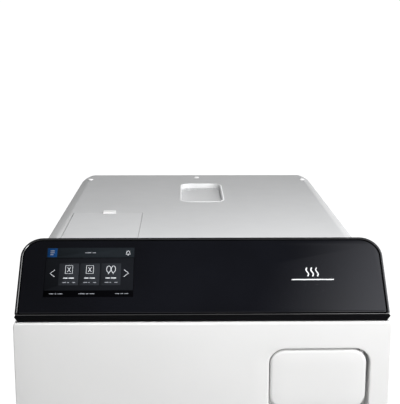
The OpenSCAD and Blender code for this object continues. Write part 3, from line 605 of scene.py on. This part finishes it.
def make_console_body():
    """What joins the slab to the cabinet: cheeks, back wall, floor and the undercut lip."""
    back, front = HOUSING_HI.y, HOUSING_LO.y
    low, high = HOUSING_LO.z, COVER_HI.z - 3 * MM
    half = CONSOLE_HALF - 1 * MM
    foot = Vector((front + 7 * MM, low + 2.5 * MM))
    summit = Vector((back - 5 * MM, high))

    def cheek_ring(x, top):
        """A cheek's outline from the side, cut off level at its top."""
        tip = foot.lerp(summit, (top - foot.y) / (summit.y - foot.y))
        outline = [tuple(foot), (front + 13 * MM, low), (back, low), (back, top), tuple(tip)]
        return [Vector((x, y, z)) for y, z in outline]

    parts = []
    for side in (-1, 1):
        rings = [cheek_ring(side * (half - BODY_R + BODY_R * math.sin(a)),
                            high - 2 * MM - BODY_R + BODY_R * math.cos(a))
                 for a in [math.pi / 2 * i / 8 for i in range(9)]]
        parts.append(loft("cheek", rings[::side], BLACK_PLASTIC, cap_first=True, cap_last=True))
    wall = round_outline(-half, half, low, high - 2 * MM, (1 * MM, BODY_R, BODY_R, 1 * MM))
    parts.append(prism("back_wall", wall, upright, back - 3 * MM, back, BLACK_PLASTIC))
    parts.append(block("floor_wall", (BODY_R - half, front + 13 * MM, low),
                       (half - BODY_R, back - 3.5 * MM, low + 2 * MM), BLACK_PLASTIC))
    # The lip is given the dull darker black: black plastic with painted shade under the console's edge.
    top = CONSOLE_LOW_Z - 0.8 * MM
    lip = [(-CONSOLE_HALF + 4.5 * MM, low), (CONSOLE_HALF - 4.5 * MM, low),
           (CONSOLE_HALF - 0.4 * MM, top), (-CONSOLE_HALF + 0.4 * MM, top)]
    parts.append(prism("lip", lip, upright, front - LIP_REACH, front + 14 * MM, LIP_BLACK_PAINTED_SHADE))
    return soften(join("console_body", parts), 0.7 * MM, 2)


def make_console_glass():
    """The dark glass panel that lies in the frame's groove."""
    inset = RIM + GROOVE
    fillet = 0.9 * MM
    rings = [console_ring(inset, -3.3 * MM), console_ring(inset, GLASS_W - fillet)]
    rings += [console_ring(inset + fillet * a, GLASS_W - fillet * b) for a, b in quarter(5)]
    glass = loft("console_glass", rings, GLASS, cap_first=True, cap_last=True)
    return shade(glass, 50)


# ---------------------------------------------------------------- touch screen
# The screen's centre on the console's slope, its size and the thickness of one printed layer
SCREEN_U = -138.8 * MM
SCREEN_V = 58.3 * MM
SCREEN_W = 109 * MM
SCREEN_H = 68 * MM
UI_T = 0.06 * MM


def screen_point(a, b, lift):
    """A point of the screen: a and b run from 0 to 1 across and up it, lift counts layers."""
    return slope(SCREEN_U + (a - 0.5) * SCREEN_W, SCREEN_V + (b - 0.5) * SCREEN_H, GLASS_W + lift * UI_T)


def ui_plate(a0, a1, b0, b1, lift, material, radius=0.0):
    """A thin plate on the screen with its corners rounded by a share of the screen's width."""
    tall = SCREEN_W / SCREEN_H
    r = max(radius, 0.001)
    outline = []
    for (cx, cy, first) in ((a1 - r, b0 + r * tall, -90), (a1 - r, b1 - r * tall, 0),
                            (a0 + r, b1 - r * tall, 90), (a0 + r, b0 + r * tall, 180)):
        for i in range(5):
            t = math.radians(first + 90 * i / 4)
            outline.append((cx + r * math.cos(t), cy + r * tall * math.sin(t)))
    return prism("plate", outline, screen_point, lift - 1, lift, material)


def ui_line(points, width, lift, material, closed=False):
    """A flat ribbon through points given in screen shares, its width in millimetres."""
    flat = [Vector(((a - 0.5) * SCREEN_W, (b - 0.5) * SCREEN_H)) for a, b in points]
    count = len(flat)
    left, right = [], []
    for i, p in enumerate(flat):
        before = flat[i - 1] if (i > 0 or closed) else p
        after = flat[(i + 1) % count] if (i < count - 1 or closed) else p
        along = (after - before).normalized()
        side = Vector((-along.y, along.x)) * (width * MM / 2)
        left.append(p + side)
        right.append(p - side)
    verts = [slope(SCREEN_U + p.x, SCREEN_V + p.y, GLASS_W + lift * UI_T) for p in left + right]
    faces = [(i, (i + 1) % count, count + (i + 1) % count, count + i)
             for i in range(count if closed else count - 1)]
    return mesh_object("line", verts, faces, material)


def circle_points(a, b, ra, rb, first=0, last=360, steps=20):
    """Points on an ellipse, or on a part of it between two angles."""
    return [(a + ra * math.cos(math.radians(first + (last - first) * i / steps)),
             b + rb * math.sin(math.radians(first + (last - first) * i / steps))) for i in range(steps + 1)]


UI_HEADER = lit("ui_header", (0.0085, 0.0105, 0.0125), 0.40)
UI_MAIN = lit("ui_main", (0.0065, 0.0072, 0.0088), 0.40)
UI_TILE = lit("ui_tile", (0.0155, 0.0170, 0.0200), 0.45)
UI_BLUE = lit("ui_blue", (0.004, 0.023, 0.075), 0.50)
UI_WHITE = lit("ui_white", (0.44, 0.455, 0.48), 0.50)
UI_SOFT = lit("ui_soft", (0.20, 0.21, 0.23), 0.35)
UI_BLACK = lit("ui_black", (0.0015, 0.0015, 0.002), 0.1)

# The screen's layout in shares of its width (A) and height (B)
HEADER_B = 0.795
STATUS_B = 0.132
TILE_A = (0.158, 0.393, 0.632)
TILE_WIDE = 0.222
TILE_B = (0.235, 0.675)
ICON_B = 0.55
NAME_B = 0.378
DETAIL_B = 0.290


def pouch_icon(a, b):
    """A sterilising pouch: an upright outline with a folded instrument in it."""
    w, h = 0.040, 0.080
    frame_line = [(a - w, b - h), (a + w, b - h), (a + w, b + h), (a - w, b + h)]
    left = [(a - w * 0.45, b + h * 0.55), (a + w * 0.1, b), (a - w * 0.45, b - h * 0.55)]
    right = [(a + w * 0.45, b + h * 0.55), (a - w * 0.1, b), (a + w * 0.45, b - h * 0.55)]
    return [ui_line(frame_line, 0.65, 4, UI_WHITE, closed=True), ui_line(left, 0.7, 4, UI_WHITE),
            ui_line(right, 0.7, 4, UI_WHITE)]


def unwrapped_icon(a, b):
    """Two open leaves for an unwrapped load."""
    parts = []
    for side in (-1, 1):
        leaf = circle_points(a + side * 0.026, b + 0.012, 0.024, 0.066)
        tail = [(a + side * 0.006, b - 0.02), (a + side * 0.030, b - 0.088)]
        parts.append(ui_line(leaf[:-1], 0.65, 4, UI_WHITE, closed=True))
        parts.append(ui_line(tail, 0.7, 4, UI_WHITE))
    return parts


def dashes(a, b, widths, gap, thick, material):
    """Short bars in a row, standing in for a line of words."""
    total = sum(widths) + gap * (len(widths) - 1)
    parts = []
    x = a - total / 2
    for w in widths:
        parts.append(ui_plate(x, x + w, b - thick / 2, b + thick / 2, 4, material, 0.002))
        x += w + gap
    return parts


def make_screen():
    """Header with a menu square and a bell, three tiles between two arrows, and a status bar."""
    parts = [ui_plate(0, 1, 0, 1, 1, UI_BLACK), ui_plate(0, 1, HEADER_B, 1, 2, UI_HEADER),
             ui_plate(0.005, 0.995, STATUS_B, HEADER_B - 0.012, 2, UI_MAIN)]
    parts.append(ui_plate(0.012, 0.122, HEADER_B + 0.012, 0.99, 3, UI_BLUE))
    for i in range(3):
        b = HEADER_B + 0.062 + 0.04 * i
        parts.append(ui_plate(0.042, 0.092 - 0.012 * (i == 0), b - 0.006, b + 0.006, 4, UI_SOFT, 0.003))
    bell_a, bell_b = 0.93, HEADER_B + 0.105
    bell = circle_points(bell_a, bell_b, 0.017, 0.03, 0, 180, 12)
    bell = [(bell_a + 0.024, bell_b - 0.036)] + bell + [(bell_a - 0.024, bell_b - 0.036)]
    parts.append(ui_line(bell, 0.7, 4, UI_WHITE, closed=True))
    parts.append(ui_plate(bell_a - 0.006, bell_a + 0.006, bell_b - 0.062, bell_b - 0.048, 4, UI_WHITE, 0.003))
    parts += dashes(0.5, HEADER_B + 0.10, (0.07, 0.04), 0.012, 0.014, UI_SOFT)
    for i, a in enumerate(TILE_A):
        centre = a + TILE_WIDE / 2
        parts.append(ui_plate(a, a + TILE_WIDE, TILE_B[0], TILE_B[1], 3, UI_TILE, 0.008))
        parts += unwrapped_icon(centre, ICON_B - 0.005) if i == 2 else pouch_icon(centre, ICON_B)
        parts += dashes(centre, NAME_B, (0.05, 0.06), 0.010, 0.020, UI_WHITE)
        parts += dashes(centre - 0.03, DETAIL_B, (0.045, 0.02), 0.010, 0.016, UI_SOFT)
        parts += dashes(centre + 0.06, DETAIL_B, (0.035,), 0.010, 0.016, UI_SOFT)
    for a, way in ((0.085, -1), (0.915, 1)):
        tip = [(a - way * 0.026, 0.545), (a + way * 0.026, 0.475), (a - way * 0.026, 0.405)]
        parts.append(ui_line(tip, 0.75, 4, UI_WHITE))
    for a, widths in ((0.14, (0.05, 0.02, 0.055)), (0.48, (0.07, 0.03, 0.055)), (0.87, (0.05, 0.03, 0.045))):
        parts += dashes(a, STATUS_B / 2, widths, 0.012, 0.014, UI_SOFT)
    return join("touch_screen", parts)


# The steam sign's place on the slope, and its measures in millimetres
SYMBOL_U = 135.5 * MM
SYMBOL_V = 47 * MM
WAVE_STEP = 6.0
WAVE_SWING = 1.3
WAVE_FOOT = 4.5
WAVE_RISE = 12
BAR_HALF = 26
STROKE = 1.5


def make_steam_symbol():
    """A plain steam sign, three waves over a bar, printed on the glass."""
    parts = []
    # The white print glows faintly: painted light that keeps it bright on the dark glass.
    glowing_ink = lit("print_white_painted_glow", (0.62, 0.63, 0.64), 0.12)
    for i in (-1, 0, 1):
        wave = [(i * WAVE_STEP + WAVE_SWING * math.sin(k / 20 * 2 * math.pi), WAVE_FOOT + WAVE_RISE * k / 20)
                for k in range(21)]
        parts.append(printed_line(wave, STROKE, glowing_ink))
    parts.append(printed_line([(BAR_HALF * i / 2, 0) for i in range(-2, 3)], STROKE, glowing_ink))
    return join("steam_symbol", parts)


def printed_line(points, width, material):
    """A ribbon on the glass, in millimetres from the symbol's centre."""
    flat = [Vector(p) for p in points]
    left, right = [], []
    for i, p in enumerate(flat):
        along = (flat[min(i + 1, len(flat) - 1)] - flat[max(i - 1, 0)]).normalized()
        side = Vector((-along.y, along.x)) * width / 2
        left.append(p + side)
        right.append(p - side)
    count = len(flat)
    verts = [slope(SYMBOL_U + p.x * MM, SYMBOL_V + p.y * MM, GLASS_W + UI_T) for p in left + right]
    faces = [(i, i + 1, count + i + 1, count + i) for i in range(count - 1)]
    return mesh_object("line", verts, faces, material)


finish_piece(make_console_frame(), "root", "black_housing", "fascia_housing")
finish_piece(make_console_body(), "root", "black_housing")
finish_piece(make_console_glass(), "root", "black_glass", "fascia_glass")
finish_piece(make_screen(), "root", "display")
finish_piece(make_steam_symbol(), "root", "black_glass")

# ---------------------------------------------------------------- door
# How far the front falls back from its middle to its corners
DOOR_BULGE = 2.4 * MM
DOOR_WALL = 2.4 * MM
DOOR_FILLET = 1.2 * MM
DOOR_R = 3.5 * MM
POCKET_DEPTH = 27 * MM
POCKET_FILLET = 1.6 * MM
POCKET_GAP = 1.6 * MM
POCKET_RIGHT = 201.6 * MM
# Depth of the finger space under the paddle
SCOOP = 28 * MM
PADDLE_R = 17.5 * MM
HINGE_Z = (110 * MM, 325 * MM)
NOTCH_HALF = 26 * MM
# How far the hinge's cutters reach past the door
PAST = 20 * MM
DOOR_MID_Z = (DOOR_LO.z + DOOR_HI.z) / 2


def bulge(point):
    """Bends the door's front into a shallow cushion shape that fades out towards its back."""
    depth = (DOOR_HI.y - point.y) / (DOOR_HI.y - DOOR_LO.y)
    across = point.x / DOOR_HI.x
    up = (point.z - DOOR_MID_Z) / (DOOR_HI.z - DOOR_MID_Z)
    back = DOOR_BULGE * (0.75 * across * across + 0.25 * up ** 4)
    return Vector((point.x, point.y + max(0.0, depth) * back, point.z))


def door_ring(inset, y):
    """The door's outline, drawn in by an inset."""
    r = max(DOOR_R - inset * 0.4, 2 * MM)
    points = round_outline(DOOR_LO.x + inset, DOOR_HI.x - inset, DOOR_LO.z + inset, DOOR_HI.z - inset,
                           (r, r, r, r))
    return [bulge(Vector((x, y, z))) for x, z in points]


def pocket_ring(inset, y):
    """The handle pocket's outline; a negative inset draws it outward."""
    r = PADDLE_R + POCKET_GAP - inset
    points = round_outline(PADDLE_LO.x - POCKET_GAP + inset, POCKET_RIGHT - inset,
                           PADDLE_LO.z - SCOOP + inset, PADDLE_HI.z + POCKET_GAP - inset, (r, r, r, r))
    return [bulge(Vector((x, y, z))) for x, z in points]


def make_door():
    """One moulding: the sides, the cushioned front and the handle's pocket, cut out for the hinge."""
    front, back = DOOR_LO.y, DOOR_HI.y
    rings = [door_ring(0, back), door_ring(0, (front + back) / 2)]
    rings += [door_ring(DOOR_FILLET * a, front + DOOR_FILLET * b) for a, b in quarter(9)]
    outer, inner = door_ring(DOOR_FILLET, front), pocket_ring(-POCKET_FILLET, front)
    steps = 14
    for i in range(1, steps):
        t = i / steps
        rings.append([bulge(Vector((p.x + (q.x - p.x) * t, front, p.z + (q.z - p.z) * t)))
                      for p, q in zip(outer, inner)])
    rings += [pocket_ring(-POCKET_FILLET * a, front + POCKET_FILLET * b) for b, a in quarter(5)]
    floor = front + POCKET_DEPTH
    cove = 4 * MM
    rings += [pocket_ring(cove * a, floor - cove * b) for a, b in quarter(5)]
    door = loft("door_moulding", rings, WHITE, cap_last=True)
    shade(door, 60)
    thicken(door, DOOR_WALL)
    step_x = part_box("hinge_arms")[0].x + 10 * MM
    step_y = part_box("door_liner")[1].y - 7 * MM
    cutters = [block("step", (DOOR_LO.x - PAST, step_y, DOOR_LO.z - PAST),
                     (step_x, 0, DOOR_HI.z + PAST), WHITE)]
    for pin_z in HINGE_Z:
        cutters.append(block("notch", (DOOR_LO.x - PAST, step_y - 1 * MM, pin_z - NOTCH_HALF),
                             (step_x + 9 * MM, 0, pin_z + NOTCH_HALF), WHITE))
    cut(door, *cutters)
    return shade(door, 40)


def paddle_ring(inset, y):
    """The paddle's outline, drawn in by an inset."""
    r = PADDLE_R - inset
    points = round_outline(PADDLE_LO.x + inset, PADDLE_HI.x - inset, PADDLE_LO.z + inset,
                           PADDLE_HI.z - inset, (r, r, r, r))
    return [bulge(Vector((x, y, z))) for x, z in points]


def make_paddle():
    """A shallow dished paddle with a rounded front edge."""
    front = PADDLE_LO.y
    thick = 6.5 * MM
    fillet = 3.4 * MM
    dish = 0.48 * MM
    rings = [paddle_ring(6 * MM, front + thick - 2 * MM), paddle_ring(3 * MM, front + thick - 1 * MM),
             paddle_ring(1.4 * MM, front + thick), paddle_ring(0.3 * MM, front + thick - 0.8 * MM)]
    rings += [paddle_ring(fillet * a, front + dish + fillet * b) for a, b in quarter(8)]
    for i in range(1, 9):
        t = i / 8
        inset = fillet + (PADDLE_R - fillet - 0.5 * MM) * t
        rings.append(paddle_ring(inset, front + dish * (1 - math.sin(t * math.pi / 2))))
    paddle = loft("handle_grip", rings, WHITE, cap_first=True, cap_last=True)
    return shade(paddle, 45)


def make_tab():
    """The hatch's finger tab: a small flat plate with soft edges."""
    tab = block("finger_tab", TAB_LO, TAB_HI, WHITE)
    return soften(tab, 0.35 * MM, 3)


def make_paddle_boss():
    """The upright barrel behind the paddle that its shaft runs through."""
    x, y = (SHAFT_LO.x + SHAFT_HI.x) / 2, (SHAFT_LO.y + SHAFT_HI.y) / 2
    z0, z1, r = PADDLE_LO.z + 14 * MM, PADDLE_HI.z - 14 * MM, 5.5 * MM
    chamfer = 1.2 * MM
    turn = [2 * math.pi * i / 40 for i in range(40)]
    rings = [[Vector((x + radius * math.cos(a), y + radius * math.sin(a), z)) for a in turn] for z, radius in
             ((z0, r - chamfer), (z0 + chamfer, r), (z1 - chamfer, r), (z1, r - chamfer))]
    boss = loft("handle_boss", rings, WHITE, cap_first=True, cap_last=True)
    return shade(boss, 50)


finish_piece(make_door(), "door", "white_plastic", "door_shell")
finish_piece(make_paddle(), "handle", "white_plastic", "handle_paddle")
finish_piece(make_paddle_boss(), "handle", "white_plastic")
finish_piece(make_tab(), "hatch", "white_plastic", "hatch_tab")

# ---------------------------------------------------------------- cabinet cover
COVER_WALL = 1.6 * MM
# How far the cutters of the cover's openings reach down through it, and out past it
CUT_DOWN = 30 * MM
CUT_OUT = 10 * MM
# The shoulder at each side, and how much of it is a flat facet rather than an arc
SHOULDER_W = 17 * MM
SHOULDER_H = 11 * MM
FACET = 0.6
# The rounding at the rear edge, at the sides and over the top
REAR_FILLET = 9 * MM
REAR_TOP = 1.2 * MM
# How much each side draws in from front to back
FLARE = 3.0 * MM
VENT_COUNT = 10
VENT_Y = 60 * MM
VENT_STEP = 14 * MM
VENT_W = 4 * MM
VENT_Z = (60 * MM, 120 * MM)
RECESS_WALL = 1.2 * MM
RECESS_FILLET = 1.6 * MM
RECESS_R = 16 * MM
RECESS_X = (WELL_LO.x + WELL_HI.x) / 2
RECESS_Y = (WELL_LO.y + WELL_HI.y) / 2
RECESS_INSET = 3.35 * MM
RECESS_HALF_W = (WELL_HI.x - WELL_LO.x) / 2 - RECESS_INSET
RECESS_HALF_L = (WELL_HI.y - WELL_LO.y) / 2 - RECESS_INSET
# Width of the ledge that the fill lid lies on, inside the recess
LEDGE_W = 6 * MM
# The raised bead round the recess
BEAD_W = 1.8 * MM
BEAD_H = 0.7 * MM


def cover_section(inset, y, drop=0.0):
    """The cover's arch seen from the front, its sides drawn in by inset and its top by drop."""
    back_share = (y - COVER_LO.y) / (COVER_HI.y - COVER_LO.y)
    half, top, low = COVER_HI.x - FLARE * back_share - inset, COVER_HI.z - drop, COVER_LO.z
    wide, tall = SHOULDER_W, SHOULDER_H - drop
    steps = 14
    edge = 1.5 * MM
    left = [(-half, low + (top - tall - edge - low) * i / 8) for i in range(9)]
    for i in range(steps + 1):
        a, s = math.pi / 2 * i / steps, i / steps
        across = (1 - FACET) * (1 - math.cos(a)) + FACET * s
        up = (1 - FACET) * math.sin(a) + FACET * s
        left.append((-half + wide * across, top - tall + tall * up))
    left.append((-half + wide + edge, top))
    middle = [((2 * i / 12 - 1) * (half - wide - edge), top) for i in range(1, 12)]
    right = [(-x, z) for x, z in reversed(left)]
    return [Vector((x, y, z)) for x, z in left + middle + right]


def recess_ring(expand, z):
    """The recess's outline, drawn out by expand."""
    r = RECESS_R + expand
    points = round_outline(RECESS_X - RECESS_HALF_W - expand, RECESS_X + RECESS_HALF_W + expand,
                           RECESS_Y - RECESS_HALF_L - expand, RECESS_Y + RECESS_HALF_L + expand, (r, r, r, r))
    return [Vector((x, y, z)) for x, y in points]


def make_cover():
    """The folded cover with its openings for the recess, the hatch and the side vents."""
    front, back = COVER_LO.y, COVER_HI.y
    rows = [cover_section(0, front + (back - REAR_FILLET - front) * i / 8) for i in range(9)]
    rows += [cover_section(REAR_FILLET * (1 - math.cos(a)), back - REAR_FILLET + REAR_FILLET * math.sin(a),
                           REAR_TOP * max(0.0, math.sin(a) - 0.9) * 10)
             for a in [math.pi / 2 * i / 10 for i in range(1, 11)]]
    rows.append(cover_section(REAR_FILLET + 1 * MM, back - 1.2 * MM, REAR_TOP + 1 * MM))
    rows.append(cover_section(REAR_FILLET + 1 * MM, back - 12 * MM, REAR_TOP + 1 * MM))
    cover = loft("cover_shell", rows, GREY, closed=False)
    thicken(cover, COVER_WALL)
    opening = RECESS_FILLET + BEAD_W / 2
    recess = loft("recess_cut",
                  [recess_ring(opening, COVER_HI.z - CUT_DOWN), recess_ring(opening, COVER_HI.z + CUT_OUT)],
                  GREY, cap_first=True, cap_last=True)
    hatch = block("hatch_cut", (HATCH_LO.x - 0.9 * MM, front - CUT_OUT, COVER_HI.z - CUT_DOWN),
                  (HATCH_HI.x + 0.5 * MM, HATCH_HI.y + 0.6 * MM, COVER_HI.z + CUT_OUT), GREY)
    slots = []
    for side in (-1, 1):
        x = side * COVER_HI.x
        for i in range(VENT_COUNT):
            y = VENT_Y + VENT_STEP * i
            slots.append(((x - 5 * MM, y, VENT_Z[0]), (x + 5 * MM, y + VENT_W, VENT_Z[1])))
    cut(cover, recess, hatch, boxes("vent_cut", slots, GREY))
    return shade(cover, 35)


def make_recess():
    """The pressed fill recess: a raised bead, a wall and the ledge that the lid lies on."""
    top = COVER_HI.z
    ledge = LID_LO.z - 0.4 * MM
    rings = [recess_ring(RECESS_FILLET + BEAD_W, top - 0.4 * MM)]
    rings += [recess_ring(RECESS_FILLET + BEAD_W * (1 - i / 8), top + BEAD_H * math.sin(math.pi / 2 * i / 8))
              for i in range(8)]
    rings += [recess_ring(RECESS_FILLET * b, top + BEAD_H - (RECESS_FILLET + BEAD_H) * a)
              for a, b in quarter(8)]
    rings.append(recess_ring(0, ledge))
    rings.append(recess_ring(-LEDGE_W, ledge))
    rings.append(recess_ring(-LEDGE_W, WELL_HI.z - 14 * MM))
    rings.append(recess_ring(-LEDGE_W - 3 * MM, WELL_HI.z - 15.5 * MM))
    # Its lightened paint is painted light on the recess's walls and bead.
    recess = loft("fill_recess", rings, RECESS_GREY_PAINTED_LIGHT)
    shade(recess, 50)
    thicken(recess, RECESS_WALL)
    return shade(recess, 50)


finish_piece(make_cover(), "root", "grey_paint", "cabinet_cover")
finish_piece(make_recess(), "root", "grey_paint")

# ---------------------------------------------------------------- light and stage
FLOOR_HALF = 60
CARD_X = (0.15, 1.5)
CARD_Y = (-1.7, 0.0)
CARD_Z = 2.45
CARD_GLOW = 2.1
SKY_STRENGTH = 1.6


def ramp_stops(ramp, stops):
    """Sets a colour ramp's stops from (position, grey) pairs."""
    elements = ramp.color_ramp.elements
    while len(elements) < len(stops):
        elements.new(1.0)
    for element, (position, grey) in zip(elements, stops):
        element.position = position
        element.color = (grey, grey, grey, 1)


def make_world():
    """A white surround that darkens upwards, dark on the left and brighter on the right."""
    world = bpy.data.worlds.new("studio")
    bpy.context.scene.world = world
    world.use_nodes = True
    tree = world.node_tree
    nodes, links = tree.nodes, tree.links
    coords = nodes.new("ShaderNodeTexCoord")
    split = nodes.new("ShaderNodeSeparateXYZ")
    links.new(coords.outputs["Generated"], split.inputs["Vector"])
    height = nodes.new("ShaderNodeValToRGB")
    links.new(split.outputs["Z"], height.inputs["Fac"])
    ramp_stops(height, [(0.0, 1.0), (0.16, 1.0), (0.34, 0.52), (0.60, 0.42), (0.80, 0.06)])
    aside = nodes.new("ShaderNodeVectorMath")
    aside.operation = "DOT_PRODUCT"
    aside.inputs[1].default_value = (-0.99, 0.12, 0.0)
    links.new(coords.outputs["Generated"], aside.inputs[0])
    side = nodes.new("ShaderNodeValToRGB")
    share = nodes.new("ShaderNodeMapRange")
    share.inputs["From Min"].default_value = -1.0
    links.new(aside.outputs["Value"], share.inputs["Value"])
    links.new(share.outputs["Result"], side.inputs["Fac"])
    ramp_stops(side, [(0.08, 1.0), (0.32, 0.6625), (0.68, 0.6625), (0.92, 0.04)])
    both = nodes.new("ShaderNodeMix")
    both.data_type = "RGBA"
    both.blend_type = "MULTIPLY"
    both.inputs["Factor"].default_value = 1.0
    links.new(height.outputs["Color"], both.inputs["A"])
    links.new(side.outputs["Color"], both.inputs["B"])
    links.new(both.outputs["Result"], nodes["Background"].inputs["Color"])
    nodes["Background"].inputs["Strength"].default_value = SKY_STRENGTH


def area_light(name, place, aim, size, energy):
    """A soft light of the given size, turned to face a point."""
    data = bpy.data.lights.new(name, "AREA")
    data.shape = "RECTANGLE"
    data.size, data.size_y = size
    data.energy = energy
    obj = bpy.data.objects.new(name, data)
    bpy.context.scene.collection.objects.link(obj)
    obj.location = place
    obj.rotation_euler = (Vector(aim) - Vector(place)).to_track_quat("-Z", "Y").to_euler()
    return obj


def floor_material():
    """White, glowing faintly in front and enough behind to meet the white surround."""
    shader = Shader("floor_white", (0.36, 0.36, 0.36), 0.9)
    split = shader.node("ShaderNodeSeparateXYZ")
    shader.link(shader.coords, split.inputs["Vector"])
    spread = shader.node("ShaderNodeMapRange", interpolation_type="SMOOTHSTEP")
    for socket, value in (("From Min", -0.4), ("From Max", 0.3), ("To Min", 0.05), ("To Max", 0.95)):
        spread.inputs[socket].default_value = value
    shader.link(split.outputs["Y"], spread.inputs["Value"])
    shader.link(spread.outputs["Result"], shader.bsdf.inputs["Emission Strength"])
    shader.set("Emission Color", (1, 1, 1, 1))
    return shader.vary(3, 0.004).material


def card_material():
    """A soft card that glows brighter towards the right and fades out at its edges."""
    material = bpy.data.materials.new("card_glow")
    material.use_nodes = True
    tree = material.node_tree
    tree.nodes.clear()
    coords = tree.nodes.new("ShaderNodeTexCoord")
    split = tree.nodes.new("ShaderNodeSeparateXYZ")
    ramp = tree.nodes.new("ShaderNodeValToRGB")
    glow = tree.nodes.new("ShaderNodeEmission")
    out = tree.nodes.new("ShaderNodeOutputMaterial")
    clear = tree.nodes.new("ShaderNodeBsdfTransparent")
    blend = tree.nodes.new("ShaderNodeMixShader")
    depth = tree.nodes.new("ShaderNodeValToRGB")
    share = tree.nodes.new("ShaderNodeMath")
    share.operation = "MULTIPLY"
    tree.links.new(coords.outputs["Generated"], split.inputs["Vector"])
    tree.links.new(split.outputs["X"], ramp.inputs["Fac"])
    tree.links.new(split.outputs["Y"], depth.inputs["Fac"])
    tree.links.new(ramp.outputs["Color"], share.inputs[0])
    tree.links.new(depth.outputs["Color"], share.inputs[1])
    tree.links.new(share.outputs["Value"], blend.inputs["Fac"])
    tree.links.new(clear.outputs["BSDF"], blend.inputs[1])
    tree.links.new(glow.outputs["Emission"], blend.inputs[2])
    tree.links.new(blend.outputs["Shader"], out.inputs["Surface"])
    ramp.color_ramp.interpolation = "EASE"
    depth.color_ramp.interpolation = "EASE"
    ramp_stops(ramp, [(0.18, 0.0), (0.88, 1.0)])
    ramp_stops(depth, [(0.0, 0.0), (0.35, 1.0), (0.65, 1.0), (1.0, 0.0)])
    glow.inputs["Color"].default_value = (0.93, 0.94, 1.0, 1)
    glow.inputs["Strength"].default_value = CARD_GLOW
    return material


def flat_sheet(name, x, y, z, material):
    """A level sheet of the stage, between two values of x and of y."""
    mesh = bpy.data.meshes.new(name)
    mesh.from_pydata([(x[0], y[0], z), (x[1], y[0], z), (x[1], y[1], z), (x[0], y[1], z)], [], [(0, 1, 2, 3)])
    sheet = bpy.data.objects.new(name, mesh)
    bpy.context.scene.collection.objects.link(sheet)
    mesh.materials.append(material)
    return sheet


make_world()
flat_sheet("floor", (-FLOOR_HALF, FLOOR_HALF), (-FLOOR_HALF, FLOOR_HALF), 0, floor_material())
card = flat_sheet("glow_card", CARD_X, CARD_Y, CARD_Z, card_material())
card.visible_camera = False
area_light("key", (0.9, -2.0, 2.0), (0.0, -0.2, 0.35), (0.9, 0.7), 8.6)
area_light("side", (1.0, -0.9, 0.75), (0.15, -0.28, 0.3), (0.4, 0.7), 6)
area_light("strip", (0.9, -2.3, 1.35), (0.0, -0.28, 0.38), (1.8, 0.2), 1.6)
area_light("right_back", (1.3, 0.05, 0.95), (0.1, 0.0, 0.4), (0.8, 0.5), 3)
near_top = area_light("near_top", (0.14, -0.5, 1.0), (0.05, -0.24, 0.45), (0.5, 0.14), 4.6)
near_top.visible_glossy = False
